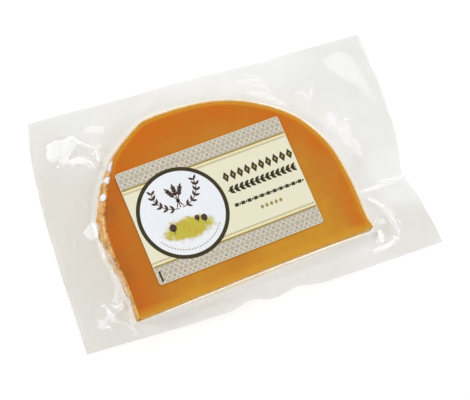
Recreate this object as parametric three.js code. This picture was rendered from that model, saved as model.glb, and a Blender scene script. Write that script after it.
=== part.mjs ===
// A half slice of young mimolette, sealed in a clear vacuum pouch, with a paper label stuck on top.
// Millimetres, +Z up. The slice lies on its cut side, the pouch's long sides run along X and the arch of
// the rind points to +Y. The origin is under the middle of the pouch, on the surface that it lies on.

import * as THREE from 'three';
import { mergeVertices } from 'three/addons/utils/BufferGeometryUtils.js';

// Driving sizes of the slice inside the pouch

const PACK_THICKNESS = 13.7;
const RIM_ROUNDING = 1.5;
const ARCH_BULGE = 0.9;
const RIND_SIDE_BULGE = 2.9;
const FRONT_CORNER_BULGE = 1.2;
const RIND_LUMP = 0.55;

// The upper edge of the rind, from the front right corner of the slice over the arch to the front left one.
// The cut joins the two ends, and is drawn in a little between them.
const ARCH = [
  [70.6, -49.1], [69, -43], [67.4, -18.5], [62.6, 5.6], [50.3, 25.9], [35.3, 38.4], [15, 48.3],
  [-8, 52.4], [-41, 51.2], [-47, 48.2], [-64.8, 34.5], [-71, 24], [-77.5, 10.5], [-82, -3],
  [-82.5, -18], [-81, -42], [-80.9, -58.8],
];
const CUT_BOW = { rise: 2.2, peak: 0.62 };
const SLICE_MIDDLE = [-8, -8];

// Shares of the arch's length that face the pouch's two back corners

const BACK_RIGHT_SHARE = 0.345;
const BACK_LEFT_SHARE = 0.655;

// Driving sizes of the pouch's margin, where its two films lie on each other

const FILM_PAIR = 0.36;
const MARGIN_AT_SLICE = 3.0;
const MARGIN_AT_EDGE = 1.9;
const LOWEST_MARGIN = 0.8;
const WEB_WIDTH = 4.2;

const CORNERS = {
  frontRight: [112.9, -68.9],
  backRight: [109, 70.4],
  backLeft: [-103.6, 70.2],
  frontLeft: [-112.3, -68.5],
};

// Where the vacuum pulls an edge in. A share runs along the edge, a depth and a reach are millimetres.

const DENTS = {
  right: [{ share: 0.34, depth: 8.2, reach: 20, roundness: 1.3 }],
  back: [{ share: 0.32, depth: 1.4, reach: 18, roundness: 2 }],
  left: [],
  front: [
    { share: 0.445, depth: 3.2, reach: 9, roundness: 2 },
    { share: 0.575, depth: 2.7, reach: 10, roundness: 2 },
  ],
};

// How far an edge bows out past the line between its corners, and where along it the bow is greatest

const BOWS = {
  right: { rise: 0.6, peak: 0.7 },
  back: { rise: 0.2, peak: 0.5 },
  left: { rise: 4.6, peak: 0.36 },
  front: { rise: 2.0, peak: 0.5 },
};

// The main folds of the margin: the places that each runs through, its height and half its width

const FOLDS = [
  { line: [[-91.5, 40.2], [-81.3, 51.3], [-70.7, 44.2], [-71.7, 33.5]], height: 2.6, spread: 2.6 },
  { line: [[-91.5, 40.2], [-77.3, 37.1], [-74.7, 33]], height: 1.9, spread: 2.4 },
  { line: [[-94.5, -45.1], [-91.5, -56.2]], height: 1.8, spread: 2.4 },
  { line: [[-91.5, -52.2], [-82.3, -48.1]], height: 1.7, spread: 2.2 },
  { line: [[-88.4, -57.2], [-83.3, -63.3]], height: 1.4, spread: 2.2 },
  { line: [[72.9, -23.8], [102.3, -24.8]], height: 1.6, spread: 2.4 },
  { line: [[75.9, -31.9], [83, -39], [87.1, -47.1], [88.1, -54.2]], height: 1.9, spread: 2.5 },
  { line: [[68.8, -60.8], [83, -58.8]], height: 1.5, spread: 2.2 },
];

// Long waves of the margin: height, wavelength, direction and start of each

const WAVES = [
  { height: 0.55, length: 61, heading: 0.35, start: 0.6 },
  { height: 0.45, length: 38, heading: 1.25, start: 2.1 },
  { height: 0.3, length: 23, heading: 2.5, start: 4.0 },
];

// Driving sizes of the label, and its place on the slice

const LABEL_WIDTH = 105;
const LABEL_HEIGHT = 69.4;
const LABEL_PAPER = 0.2;
const LABEL_CORNER = 1.6;
const LABEL_GAP = 0.25;
const LABEL_MIDDLE = [-12.7, -7.0];
const LABEL_TURN = THREE.MathUtils.degToRad(4.05);

// Mesh steps along the four sides, from front right anticlockwise, and across the margin

const STEPS = { right: 32, back: 36, left: 44, front: 30 };
const MARGIN_STEPS = 6;

// Where the rings of the pouch's surface lie. On top, as shares of the way out from the slice's middle.
// Down the rounded rim, as shares of its rounding inwards and down. On the side, as shares of the thickness.

const TOP_SHARES = [0.45, 0.8];
const RIM_RINGS = [[1, 0], [0.3, 0.3], [0, 1]];
const SIDE_SHARES = [0.66, 0.42];

// Where the films sweep from the slice to the margin: a share of the web's width, and a height over the
// margin's start. Under it come the rounded lower rim and the flat face that the pack rests on, as insets
// and heights.

const UPPER_WEB = [[0.08, 1.5], [0.4, 0.45]];
const LOWER_WEB = [[0.35, -1.3]];
const LOWER_RIM = [[0.6, 0.5], [2, 0]];

const lerp = THREE.MathUtils.lerp;
const smoothstep = THREE.MathUtils.smoothstep;

const mix = (a, b, share) => [lerp(a[0], b[0], share), lerp(a[1], b[1], share)];

const archCurve = new THREE.CatmullRomCurve3(
  ARCH.map(([x, y]) => new THREE.Vector3(x, y, 0)), false, 'centripetal');
archCurve.arcLengthDivisions = 600;

// A point of the arch at a share of its length, and the way out from it

function archPoint(share) {
  const point = archCurve.getPointAt(share);
  const along = archCurve.getTangentAt(share);
  return { at: [point.x, point.y], out: [along.y, -along.x] };
}

// Small lumps and pits of the natural rind, at a share of the arch and a height

function rindLump(share, height) {
  const across = share * 78;
  return Math.sin(across * 1.3 + height * 0.5) * 0.5
    + Math.sin(across * 2.17 - height * 0.85 + 1.2) * 0.35
    + Math.sin(across * 3.4 + 2.6) * 0.15;
}

// How far the rind stands out past its upper edge. The left flank bulges and is lumpy.

function rindReach(share, height) {
  const flank = smoothstep(share, 0.66, 0.74);
  const flankBulge = lerp(RIND_SIDE_BULGE, FRONT_CORNER_BULGE, smoothstep(share, 0.84, 0.99));
  const bulge = lerp(ARCH_BULGE, flankBulge, flank);
  const depth = (PACK_THICKNESS - height) / PACK_THICKNESS;
  const belly = Math.sin(Math.min(1, depth * 1.45) * Math.PI / 2);
  return bulge * belly + RIND_LUMP * (0.25 + 0.75 * flank) * belly * rindLump(share, height);
}

// A bow from 0 at both ends to 1 at its peak

const bowShape = (share, peak) => Math.sin(Math.PI * share ** (Math.log(0.5) / Math.log(peak)));

// A point round the slice at a height, inset from its side. Along the cut it is on the bowed line
// between the corners.

function slicePoint(side, share, height, inset) {
  const onArch = (archShare) => {
    const { at, out } = archPoint(archShare);
    const reach = rindReach(archShare, height) - inset;
    return [at[0] + out[0] * reach, at[1] + out[1] * reach];
  };
  if (side === 'right') return onArch(share * BACK_RIGHT_SHARE);
  if (side === 'back') return onArch(lerp(BACK_RIGHT_SHARE, BACK_LEFT_SHARE, share));
  if (side === 'left') return onArch(lerp(BACK_LEFT_SHARE, 1, share));
  const [x, y] = mix(onArch(1), onArch(0), share);
  return [x, y + inset + CUT_BOW.rise * bowShape(share, CUT_BOW.peak)];
}

// A point of the pouch's outline: the line between two corners with its bow and dents

function edgePoint(side, share) {
  const ends = {
    right: [CORNERS.frontRight, CORNERS.backRight],
    back: [CORNERS.backRight, CORNERS.backLeft],
    left: [CORNERS.backLeft, CORNERS.frontLeft],
    front: [CORNERS.frontLeft, CORNERS.frontRight],
  }[side];
  const [start, end] = ends;
  const length = Math.hypot(end[0] - start[0], end[1] - start[1]);
  const out = [(end[1] - start[1]) / length, (start[0] - end[0]) / length];
  const { rise, peak } = BOWS[side];
  let reach = rise * bowShape(share, peak);
  for (const dent of DENTS[side]) {
    const away = Math.abs(share - dent.share) * length / dent.reach;
    reach -= dent.depth * Math.exp(-(away ** dent.roundness));
  }
  const [x, y] = mix(start, end, share);
  return [x + out[0] * reach, y + out[1] * reach];
}

function distanceToLine(x, y, line) {
  let nearest = Infinity;
  for (let i = 0; i + 1 < line.length; i++) {
    const [ax, ay] = line[i];
    const [bx, by] = line[i + 1];
    const squared = (bx - ax) ** 2 + (by - ay) ** 2;
    const along = THREE.MathUtils.clamp(((x - ax) * (bx - ax) + (y - ay) * (by - ay)) / squared, 0, 1);
    nearest = Math.min(nearest, Math.hypot(x - lerp(ax, bx, along), y - lerp(ay, by, along)));
  }
  return nearest;
}

// Height of the margin's upper face. The share runs from the slice, 0, to the pouch's edge, 1.

function marginHeight(x, y, share) {
  let height = lerp(MARGIN_AT_SLICE, MARGIN_AT_EDGE, share);
  const loose = smoothstep(share, 0, 0.5);
  for (const wave of WAVES) {
    const along = x * Math.cos(wave.heading) + y * Math.sin(wave.heading);
    height += loose * wave.height * Math.sin(2 * Math.PI * along / wave.length + wave.start);
  }
  for (const fold of FOLDS) {
    const away = distanceToLine(x, y, fold.line) / fold.spread;
    height += fold.height * Math.exp(-away * away);
  }
  return Math.max(height, LOWEST_MARGIN);
}

// Every station round the pouch, as the side that it is on and its share of that side

function stations() {
  const all = [];
  for (const side of ['right', 'back', 'left', 'front']) {
    for (let i = 0; i < STEPS[side]; i++) all.push({ side, share: i / STEPS[side] });
  }
  return all;
}

// One closed ring of points round the pouch, made by a rule from each station

const ring = (around, rule) => around.map(({ side, share }) => rule(side, share));

// The sealed pouch: rings from the middle of its upper face, down the slice's side, out over the
// margin, round its edge and back underneath, closed by a fan at each end

function pouchGeometry() {
  const around = stations();
  const rings = [];

  const level = (inset, height) => ring(around, (side, share) => {
    const [x, y] = slicePoint(side, share, height, inset);
    return [x, y, height];
  });
  const inner = (share) => level(RIM_ROUNDING, PACK_THICKNESS).map(([x, y, z]) => [
    ...mix(SLICE_MIDDLE, [x, y], share), z]);
  const margin = (share, drop) => ring(around, (side, along) => {
    const foot = slicePoint(side, along, MARGIN_AT_SLICE, 0);
    const edge = edgePoint(side, along);
    const start = WEB_WIDTH / Math.hypot(edge[0] - foot[0], edge[1] - foot[1]);
    const [x, y] = mix(foot, edge, lerp(start, 1, share));
    return [x, y, marginHeight(x, y, share) - drop];
  });
  const web = (share, rise) => ring(around, (side, along) => {
    const foot = slicePoint(side, along, MARGIN_AT_SLICE, 0);
    const edge = edgePoint(side, along);
    const reach = share * WEB_WIDTH / Math.hypot(edge[0] - foot[0], edge[1] - foot[1]);
    const [x, y] = mix(foot, edge, reach);
    return [x, y, MARGIN_AT_SLICE + rise];
  });

  for (const share of TOP_SHARES) rings.push(inner(share));
  for (const [inwards, down] of RIM_RINGS) {
    rings.push(level(RIM_ROUNDING * inwards, PACK_THICKNESS - RIM_ROUNDING * down));
  }
  for (const share of SIDE_SHARES) rings.push(level(0, PACK_THICKNESS * share));
  for (const [share, rise] of UPPER_WEB) rings.push(web(share, rise));
  for (let i = 0; i <= MARGIN_STEPS; i++) rings.push(margin(i / MARGIN_STEPS, 0));
  for (let i = MARGIN_STEPS; i >= 0; i--) rings.push(margin(i / MARGIN_STEPS, FILM_PAIR));
  for (const [share, rise] of LOWER_WEB) rings.push(web(share, rise));
  for (const [inset, height] of LOWER_RIM) rings.push(level(inset, height));

  const count = around.length;
  const positions = [...SLICE_MIDDLE, PACK_THICKNESS, ...rings.flat(2), ...SLICE_MIDDLE, 0];
  const last = rings.length * count + 1;
  const indices = [];
  for (let i = 0; i < count; i++) {
    const next = (i + 1) % count;
    indices.push(0, 1 + i, 1 + next);
    for (let r = 0; r + 1 < rings.length; r++) {
      const a = 1 + r * count + i;
      const b = 1 + r * count + next;
      indices.push(a, a + count, b + count, a, b + count, b);
    }
    indices.push(last, last - count + next, last - count + i);
  }
  const geometry = new THREE.BufferGeometry();
  geometry.setAttribute('position', new THREE.Float32BufferAttribute(positions, 3));
  geometry.setIndex(indices);
  geometry.computeVertexNormals();
  return geometry;
}

// The label: a thin sheet of paper with rounded corners

function labelGeometry() {
  const halfWidth = LABEL_WIDTH / 2;
  const halfHeight = LABEL_HEIGHT / 2;
  const outline = new THREE.Shape();
  for (const [cornerX, cornerY, turn] of [[1, 1, 0], [-1, 1, 1], [-1, -1, 2], [1, -1, 3]]) {
    const x = cornerX * (halfWidth - LABEL_CORNER);
    const y = cornerY * (halfHeight - LABEL_CORNER);
    outline.absarc(x, y, LABEL_CORNER, turn * Math.PI / 2, (turn + 1) * Math.PI / 2, false);
  }
  outline.closePath();
  const sheet = new THREE.ExtrudeGeometry(outline, { depth: LABEL_PAPER, bevelEnabled: false, curveSegments: 6 });
  sheet.deleteAttribute('normal');
  sheet.deleteAttribute('uv');
  const merged = mergeVertices(sheet, 1e-4);
  merged.computeVertexNormals();
  return merged;
}

const filmFinish = new THREE.MeshStandardMaterial({ color: 0xcf9a52, roughness: 0.18, metalness: 0 });
const paperFinish = new THREE.MeshStandardMaterial({ color: 0xe6e3c5, roughness: 0.55, metalness: 0 });

const pouch = new THREE.Mesh(pouchGeometry(), filmFinish);
pouch.name = 'pouch';

const label = new THREE.Mesh(labelGeometry(), paperFinish);
label.name = 'label';
label.position.set(LABEL_MIDDLE[0], LABEL_MIDDLE[1], PACK_THICKNESS + LABEL_GAP);
label.rotation.z = LABEL_TURN;

const pack = new THREE.Group();
pack.add(pouch, label);

export default pack;
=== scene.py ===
"""The look of a half slice of young mimolette, sealed in a clear vacuum pouch with a paper label on top.

Sizes in the classes are millimetres in the frame's axes, and meshes are made in metres.
"""
import logging
import math
from dataclasses import dataclass, field
from enum import Enum

import bpy
import numpy as np
from bpy.types import Material, Node, NodeOutputs, NodeSocket, NodeTree, Object
from mathutils import Matrix, Vector, noise


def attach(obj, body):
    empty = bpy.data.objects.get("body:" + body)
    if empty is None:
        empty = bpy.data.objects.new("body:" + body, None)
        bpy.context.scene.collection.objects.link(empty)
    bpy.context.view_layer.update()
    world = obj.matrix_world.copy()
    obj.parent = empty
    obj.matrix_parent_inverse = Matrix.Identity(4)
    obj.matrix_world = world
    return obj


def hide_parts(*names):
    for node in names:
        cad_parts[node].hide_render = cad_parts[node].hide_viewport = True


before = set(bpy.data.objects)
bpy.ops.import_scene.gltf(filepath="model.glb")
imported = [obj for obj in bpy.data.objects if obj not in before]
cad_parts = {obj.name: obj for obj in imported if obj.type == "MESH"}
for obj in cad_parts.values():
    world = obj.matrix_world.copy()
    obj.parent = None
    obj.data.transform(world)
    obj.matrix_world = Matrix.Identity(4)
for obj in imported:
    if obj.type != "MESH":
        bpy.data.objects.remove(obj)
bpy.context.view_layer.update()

log = logging.getLogger("mimolette")
MM = 0.001
BODY = "root"

Place = tuple[float, float]
Point = tuple[float, float, float]
Colour = tuple[float, float, float]
FourSides = tuple[float, float, float, float]
Faces = list[tuple[int, ...]]
Shape = tuple[np.ndarray, Faces]
Pressed = tuple[np.ndarray, np.ndarray]


def srgb(red: int, green: int, blue: int) -> Colour:
    """A colour given as 0 to 255 on a screen, as linear light."""
    channels = (value / 255 for value in (red, green, blue))
    return tuple(c / 12.92 if c <= 0.04045 else ((c + 0.055) / 1.055) ** 2.4 for c in channels)


def smoothstep(values: np.ndarray, low: float, high: float) -> np.ndarray:
    """A smooth rise from 0 at low to 1 at high."""
    share = np.clip((values - low) / (high - low), 0, 1)
    return share * share * (3 - 2 * share)


def mix(start: np.ndarray, end: np.ndarray, share: np.ndarray | float) -> np.ndarray:
    """The points at a share of the way from one row of points to another."""
    part = np.asarray(share)
    return start + (end - start) * (part[..., None] if part.ndim else part)


def noise_field(points: np.ndarray, size: float, seed: float) -> np.ndarray:
    """Smooth noise at 3-D points.

    Args:
        points: one point a row, in millimetres.
        size: the size of the noise's lumps, in millimetres.
        seed: moves the noise to another place.

    Returns:
        A value from about -1 to 1 for each point.
    """
    shift = Vector((seed, seed * 0.7, -seed))
    return np.array([noise.noise(Vector(point) / size + shift) for point in points.tolist()])


def cell_field(points: np.ndarray, size: float, seed: float) -> np.ndarray:
    """The distance to the nearest cell point, in cell sizes, at 3-D points in millimetres."""
    shift = Vector((seed, -seed, seed * 0.4))
    return np.array([noise.voronoi(Vector(point) / size + shift)[0][0] for point in points.tolist()])


def smooth_line(places: list[Place], steps: int) -> np.ndarray:
    """Points along the centripetal Catmull-Rom curve through some places.

    Args:
        places: the places that the curve runs through.
        steps: how many points to make between two places.

    Returns:
        The curve's points, one a row.
    """
    given = np.array(places, float)
    held = np.vstack([2 * given[0] - given[1], given, 2 * given[-1] - given[-2]])
    spans = []
    for a, b, c, d in zip(held[:-3], held[1:-2], held[2:-1], held[3:]):
        before, here, after = (np.linalg.norm(v) ** 0.5 for v in (b - a, c - b, d - c))
        leave = ((b - a) / before - (c - a) / (before + here) + (c - b) / here) * here
        arrive = ((c - b) / here - (d - b) / (here + after) + (d - c) / after) * here
        u = np.linspace(0, 1, steps, endpoint=False)[:, None]
        spans.append(
            (2 * u**3 - 3 * u**2 + 1) * b + (u**3 - 2 * u**2 + u) * leave
            + (3 * u**2 - 2 * u**3) * c + (u**3 - u**2) * arrive)
    return np.vstack([*spans, held[-2][None]])


def distance_to_line(points: np.ndarray, line: np.ndarray) -> np.ndarray:
    """The distance from 2-D points to a line.

    Args:
        points: one point a row.
        line: the line's points, one a row.

    Returns:
        For each point the distance to the line's nearest stretch.
    """
    nearest = np.full(len(points), np.inf)
    for a, b in zip(line[:-1], line[1:]):
        span = b - a
        along = np.clip((points - a) @ span / (span @ span), 0, 1)
        nearest = np.minimum(nearest, np.linalg.norm(points - a - along[:, None] * span, axis=1))
    return nearest


def near_line(points: np.ndarray, line: np.ndarray, reach: float) -> np.ndarray:
    """The numbers of the 2-D points in the box round a line, widened by a reach."""
    low, high = line.min(0) - reach, line.max(0) + reach
    return np.flatnonzero(np.all((points > low) & (points < high), axis=1))


def bow_shape(share: np.ndarray, peak: float) -> np.ndarray:
    """A bow from 0 at both ends to 1 at its peak."""
    return np.sin(np.pi * share ** (math.log(0.5) / math.log(peak)))


def make_object(name: str, vertices: np.ndarray, faces: Faces, smooth: bool = True) -> Object:
    """A mesh object from points in millimetres.

    Args:
        name: the piece's name.
        vertices: one point a row.
        faces: the corners of each face.
        smooth: whether its faces are shaded as one smooth surface.

    Returns:
        The object, in the scene.
    """
    mesh = bpy.data.meshes.new(name)
    mesh.from_pydata((np.asarray(vertices) * MM).tolist(), [], faces)
    mesh.polygons.foreach_set("use_smooth", [smooth] * len(mesh.polygons))
    mesh.validate()
    piece = bpy.data.objects.new(name, mesh)
    bpy.context.scene.collection.objects.link(piece)
    return piece


def add_masks(piece: Object, **masks: np.ndarray) -> None:
    """Writes values on a piece for its material to read.

    Args:
        piece: the piece.
        masks: one value a vertex, by the name that the material reads.
    """
    for name, values in masks.items():
        mask = piece.data.attributes.new(name, "FLOAT", "POINT")
        mask.data.foreach_set("value", np.asarray(values, np.float32))


def closed_skin(start: Point, rings: list[np.ndarray], end: Point) -> Shape:
    """A skin over rings of points that follow each other, closed by a fan at both ends.

    Args:
        start: the middle of the first fan.
        rings: the rings, anticlockwise and from the top down, each with as many points.
        end: the middle of the last fan.

    Returns:
        The skin's points, one a row, and the corners of each face.
    """
    around = len(rings[0])
    points = np.vstack([[start], *rings, [end]])
    last = len(points) - 1
    faces = []
    for row in range(len(rings) - 1):
        for i in range(around):
            a = 1 + row * around + i
            b = 1 + row * around + (i + 1) % around
            faces.append((a, a + around, b + around, b))
    for i in range(around):
        after = (i + 1) % around
        faces.append((0, 1 + i, 1 + after))
        faces.append((last, last - around + after, last - around + i))
    return points, faces


def on_vertices(values: np.ndarray, rings: int, around: int) -> np.ndarray:
    """Values for the vertices of a closed skin, with 0 for the middles of its two fans.

    Args:
        values: a row a ring and a column a station, or one row or column that stands for all of them.
        rings: how many rings the skin has.
        around: how many points a ring has.

    Returns:
        One value a vertex.
    """
    return np.concatenate([[0], np.broadcast_to(values, (rings, around)).ravel(), [0]])


def per_ring(values: list[float]) -> np.ndarray:
    """One value a ring, as a column."""
    return np.array(values, float)[:, None]


class Side(Enum):
    """The four sides of the pouch, from the front right corner anticlockwise."""

    RIGHT = 0
    BACK = 1
    LEFT = 2
    FRONT = 3


@dataclass(frozen=True)
class Stations:
    """Places round the pouch: the side that each is on and its share of that side."""

    side: np.ndarray
    share: np.ndarray

    @classmethod
    def spread(cls, right: int, back: int, left: int, front: int) -> "Stations":
        """Even stations, a number for each side."""
        counts = (right, back, left, front)
        return cls(np.repeat(np.arange(4), counts), np.concatenate([np.arange(n) / n for n in counts]))

    def on(self, side: Side) -> np.ndarray:
        """A mask of the stations on one side."""
        return self.side == side.value


@dataclass
class SliceForm:
    """The outline of the half slice: an arch of rind and a straight cut between its ends.

    The rind's side bulges out past its upper edge: by arch_bulge along the arch, by flank_bulge on the
    flank at the left, with a belly where the flank is fullest, and by corner_bulge where it ends in front.
    Where each begins is a share of the arch's length, counted from its right end.
    """

    thickness: float = 13.7
    rim_rounding: float = 1.5
    arch_bulge: float = 0.9
    flank_bulge: float = 2.9
    flank_start: Place = (0.66, 0.74)
    corner_bulge: float = -0.6
    corner_start: Place = (0.82, 0.98)
    belly: float = 0.7
    belly_at: float = 0.785
    belly_reach: float = 0.03
    fullness: float = 1.45
    lump: float = 0.55
    lump_pitch: float = 78
    cut_rise: float = 0.9
    cut_peak: float = 0.62
    middle: Place = (-8, -8)
    back_shares: Place = (0.345, 0.655)
    arch: list[Place] = field(default_factory=lambda: [
        (70.7, -49.5), (69, -43), (67.4, -18.5), (62.6, 5.6), (50.6, 26.15), (35.5, 38.6), (15, 48.3),
        (-8, 52.4), (-41, 50.8), (-47, 48.0), (-64.8, 34.5), (-71, 24), (-77.5, 10.5), (-82, -3),
        (-82.5, -18), (-81, -42), (-80.7, -59.9)])

    def __post_init__(self) -> None:
        """Makes the arch's dense curve and the share of its length up to each point."""
        self.curve = smooth_line(self.arch, 60)
        gaps = np.linalg.norm(np.diff(self.curve, axis=0), axis=1)
        self.travel = np.concatenate([[0], np.cumsum(gaps)]) / gaps.sum()

    def on_arch(self, share: np.ndarray) -> np.ndarray:
        """The 2-D points of the arch at shares of its length."""
        return np.stack([np.interp(share, self.travel, self.curve[:, k]) for k in (0, 1)], 1)

    def arch_at(self, share: np.ndarray) -> tuple[np.ndarray, np.ndarray]:
        """The arch and the way out from it.

        Args:
            share: shares of the arch's length.

        Returns:
            For each share the 2-D point of the arch, and the level direction that leads out from there.
        """
        step = 0.002
        along = self.on_arch(np.clip(share + step, 0, 1)) - self.on_arch(np.clip(share - step, 0, 1))
        along /= np.linalg.norm(along, axis=1)[:, None]
        return self.on_arch(share), np.stack([along[:, 1], -along[:, 0]], 1)

    def rind_reach(self, share: np.ndarray, height: float) -> np.ndarray:
        """How far the rind's side stands out past its upper edge.

        Args:
            share: shares of the arch's length.
            height: the height on the side.

        Returns:
            The reach at each share.
        """
        across = share * self.lump_pitch
        lump = (np.sin(across * 1.3 + height * 0.5) * 0.5
                + np.sin(across * 2.17 - height * 0.85 + 1.2) * 0.35 + np.sin(across * 3.4 + 2.6) * 0.15)
        flank = smoothstep(share, *self.flank_start)
        corner = smoothstep(share, *self.corner_start)
        side = self.flank_bulge + (self.corner_bulge - self.flank_bulge) * corner
        side += self.belly * np.exp(-((share - self.belly_at) / self.belly_reach) ** 2)
        bulge = self.arch_bulge + (side - self.arch_bulge) * flank
        depth = (self.thickness - height) / self.thickness
        round_out = math.sin(min(1.0, depth * self.fullness) * math.pi / 2)
        return (bulge + self.lump * (0.25 + 0.75 * flank) * lump) * round_out

    def rind_points(self, share: np.ndarray, height: float, inset: float) -> np.ndarray:
        """2-D points at shares of the arch, some way in from the rind's side at a height."""
        at, out = self.arch_at(share)
        return at + out * (self.rind_reach(share, height) - inset)[:, None]

    def cut_line(self, across: np.ndarray) -> np.ndarray:
        """The line of the straight cut, which bows forward a little.

        Args:
            across: places along the frame's X axis.

        Returns:
            The cut's Y at each place.
        """
        right, left = np.array(self.arch[0]), np.array(self.arch[-1])
        share = (across - left[0]) / (right[0] - left[0])
        bow = self.cut_rise * bow_shape(np.clip(share, 0, 1), self.cut_peak)
        return left[1] + (right[1] - left[1]) * share + bow

    def behind_cut(self, points: np.ndarray) -> np.ndarray:
        """How far 2-D points lie behind the cut."""
        return points[:, 1] - self.cut_line(points[:, 0])

    def arch_span(self, height: float, rind_inset: float, cut_inset: float) -> Place:
        """Where a ring's rind side meets its cut side.

        Args:
            height: the height of the ring.
            rind_inset: how far in from the rind's side the ring lies along the arch.
            cut_inset: how far in from the cut it lies.

        Returns:
            The shares of the arch at the ring's right and left corner.
        """
        near_right = np.linspace(0, 0.06, 90)
        ends = []
        for shares in (near_right, 1 - near_right):
            depth = self.behind_cut(self.rind_points(shares, height, rind_inset)) - cut_inset
            ends.append(float(np.interp(0, depth, shares)))
        return ends[0], ends[1]

    def outline(self, stations: Stations, height: float, rind_inset: float, cut_inset: float) -> np.ndarray:
        """Points round the slice at a height.

        Args:
            stations: the places round it.
            height: the height of the ring.
            rind_inset: how far in from the rind's side the ring lies along the arch.
            cut_inset: how far in from the cut it lies.

        Returns:
            One 2-D point for each station.
        """
        first, last = self.arch_span(height, rind_inset, cut_inset)
        back, left = self.back_shares
        starts = np.array([first, back, left, 0])[stations.side]
        spans = np.array([back - first, left - back, last - left, 0])[stations.side]
        points = self.rind_points(starts + spans * stations.share, height, rind_inset)
        front = stations.on(Side.FRONT)
        ends = self.rind_points(np.array([last, first]), height, rind_inset)
        points[front] = mix(ends[0], ends[1], stations.share[front])
        points[front, 1] = self.cut_line(points[front, 0]) + cut_inset
        return points


@dataclass(frozen=True)
class Dent:
    """A place where the vacuum pulls the pouch's edge in."""

    share: float
    depth: float
    reach: float
    roundness: float


@dataclass(frozen=True)
class Edge:
    """One edge of the pouch: its bow past the line between its corners, and its dents."""

    rise: float
    peak: float
    dents: tuple[Dent, ...] = ()


@dataclass(frozen=True)
class Fold:
    """A large fold of the margin, as the solid has it."""

    line: tuple[Place, ...]
    height: float
    spread: float


@dataclass(frozen=True)
class Crease:
    """A fine crease of the film, tapered to its ends, white along it: partly the film's stretch whitening,
    partly a painted highlight.

    One side of it is sharp and the other soft: the left one, seen along its line, where lean is above 0.
    """

    line: tuple[Place, ...]
    width: float
    white: float
    height: float = 0.4
    lean: float = 0.4
    taper: float = 0.6
    peak: float = 0.5

    def press(self, points: np.ndarray) -> Pressed:
        """How far the crease lifts the film, and how white it makes it.

        Args:
            points: one 2-D point a row.

        Returns:
            For each point the lift, and how white it is there.
        """
        line = smooth_line(list(self.line), 8) if len(self.line) > 2 else np.array(self.line, float)
        at_ends = 0.22
        near = near_line(points, line, self.width * 5)
        lift, white = np.zeros(len(points)), np.zeros(len(points))
        if not len(near):
            return lift, white
        here = points[near]
        lengths = np.linalg.norm(np.diff(line, axis=0), axis=1)
        before = np.concatenate([[0], np.cumsum(lengths)])
        nearest = np.full(len(here), np.inf)
        side, travel = np.zeros(len(here)), np.zeros(len(here))
        for i, (a, b) in enumerate(zip(line[:-1], line[1:])):
            span, offset = b - a, here - a
            along = np.clip(offset @ span / (span @ span), 0, 1)
            away = np.linalg.norm(offset - along[:, None] * span, axis=1)
            closer = away < nearest
            cross = span[0] * offset[:, 1] - span[1] * offset[:, 0]
            nearest = np.where(closer, away, nearest)
            side = np.where(closer, np.sign(cross), side)
            travel = np.where(closer, (before[i] + along * lengths[i]) / before[-1], travel)
        bow = np.abs(bow_shape(np.clip(travel, 0, 1), self.peak)) ** self.taper
        swell = at_ends + (1 - at_ends) * bow
        across = nearest / (self.width * swell)
        lift[near] = self.height * swell * np.exp(-across ** 1.4)
        white[near] = self.white * swell ** 0.5 * np.exp(-(across * (1 + self.lean * side)) ** 2)
        return lift, white


@dataclass(frozen=True)
class Crumple:
    """A patch of film crushed into small flat facets, by sets of straight folds that cross.

    Each set has its turn from the heading and its share of the height, and is coarser than the one before.
    """

    middle: Place
    reach: Place
    height: float
    size: float
    heading: float
    bend: float = 2.2
    coarser: float = 0.37
    sets: tuple[Place, ...] = ((0.0, 1.0), (0.9, 0.7), (2.1, 0.55))

    def press(self, points: np.ndarray, warp: np.ndarray) -> Pressed:
        """How far the facets lift the film, and how strongly they show.

        Args:
            points: one 2-D point a row.
            warp: a smooth noise for each point, which bends the facets' edges.

        Returns:
            For each point the lift, and how strongly they show there.
        """
        away = np.linalg.norm((points - self.middle) / self.reach, axis=1)
        share = smoothstep(-away, -1.0, -0.35)
        lift = np.zeros(len(points))
        for k, (turn, part) in enumerate(self.sets):
            angle = self.heading + turn
            along = points[:, 0] * math.cos(angle) + points[:, 1] * math.sin(angle) + self.bend * warp
            lift += part * np.abs(((along / (self.size * (1 + self.coarser * k))) % 1) * 2 - 1)
        return self.height * share * lift, share


@dataclass(frozen=True)
class Wave:
    """A long wave of the margin."""

    height: float
    length: float
    heading: float
    start: float


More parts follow.
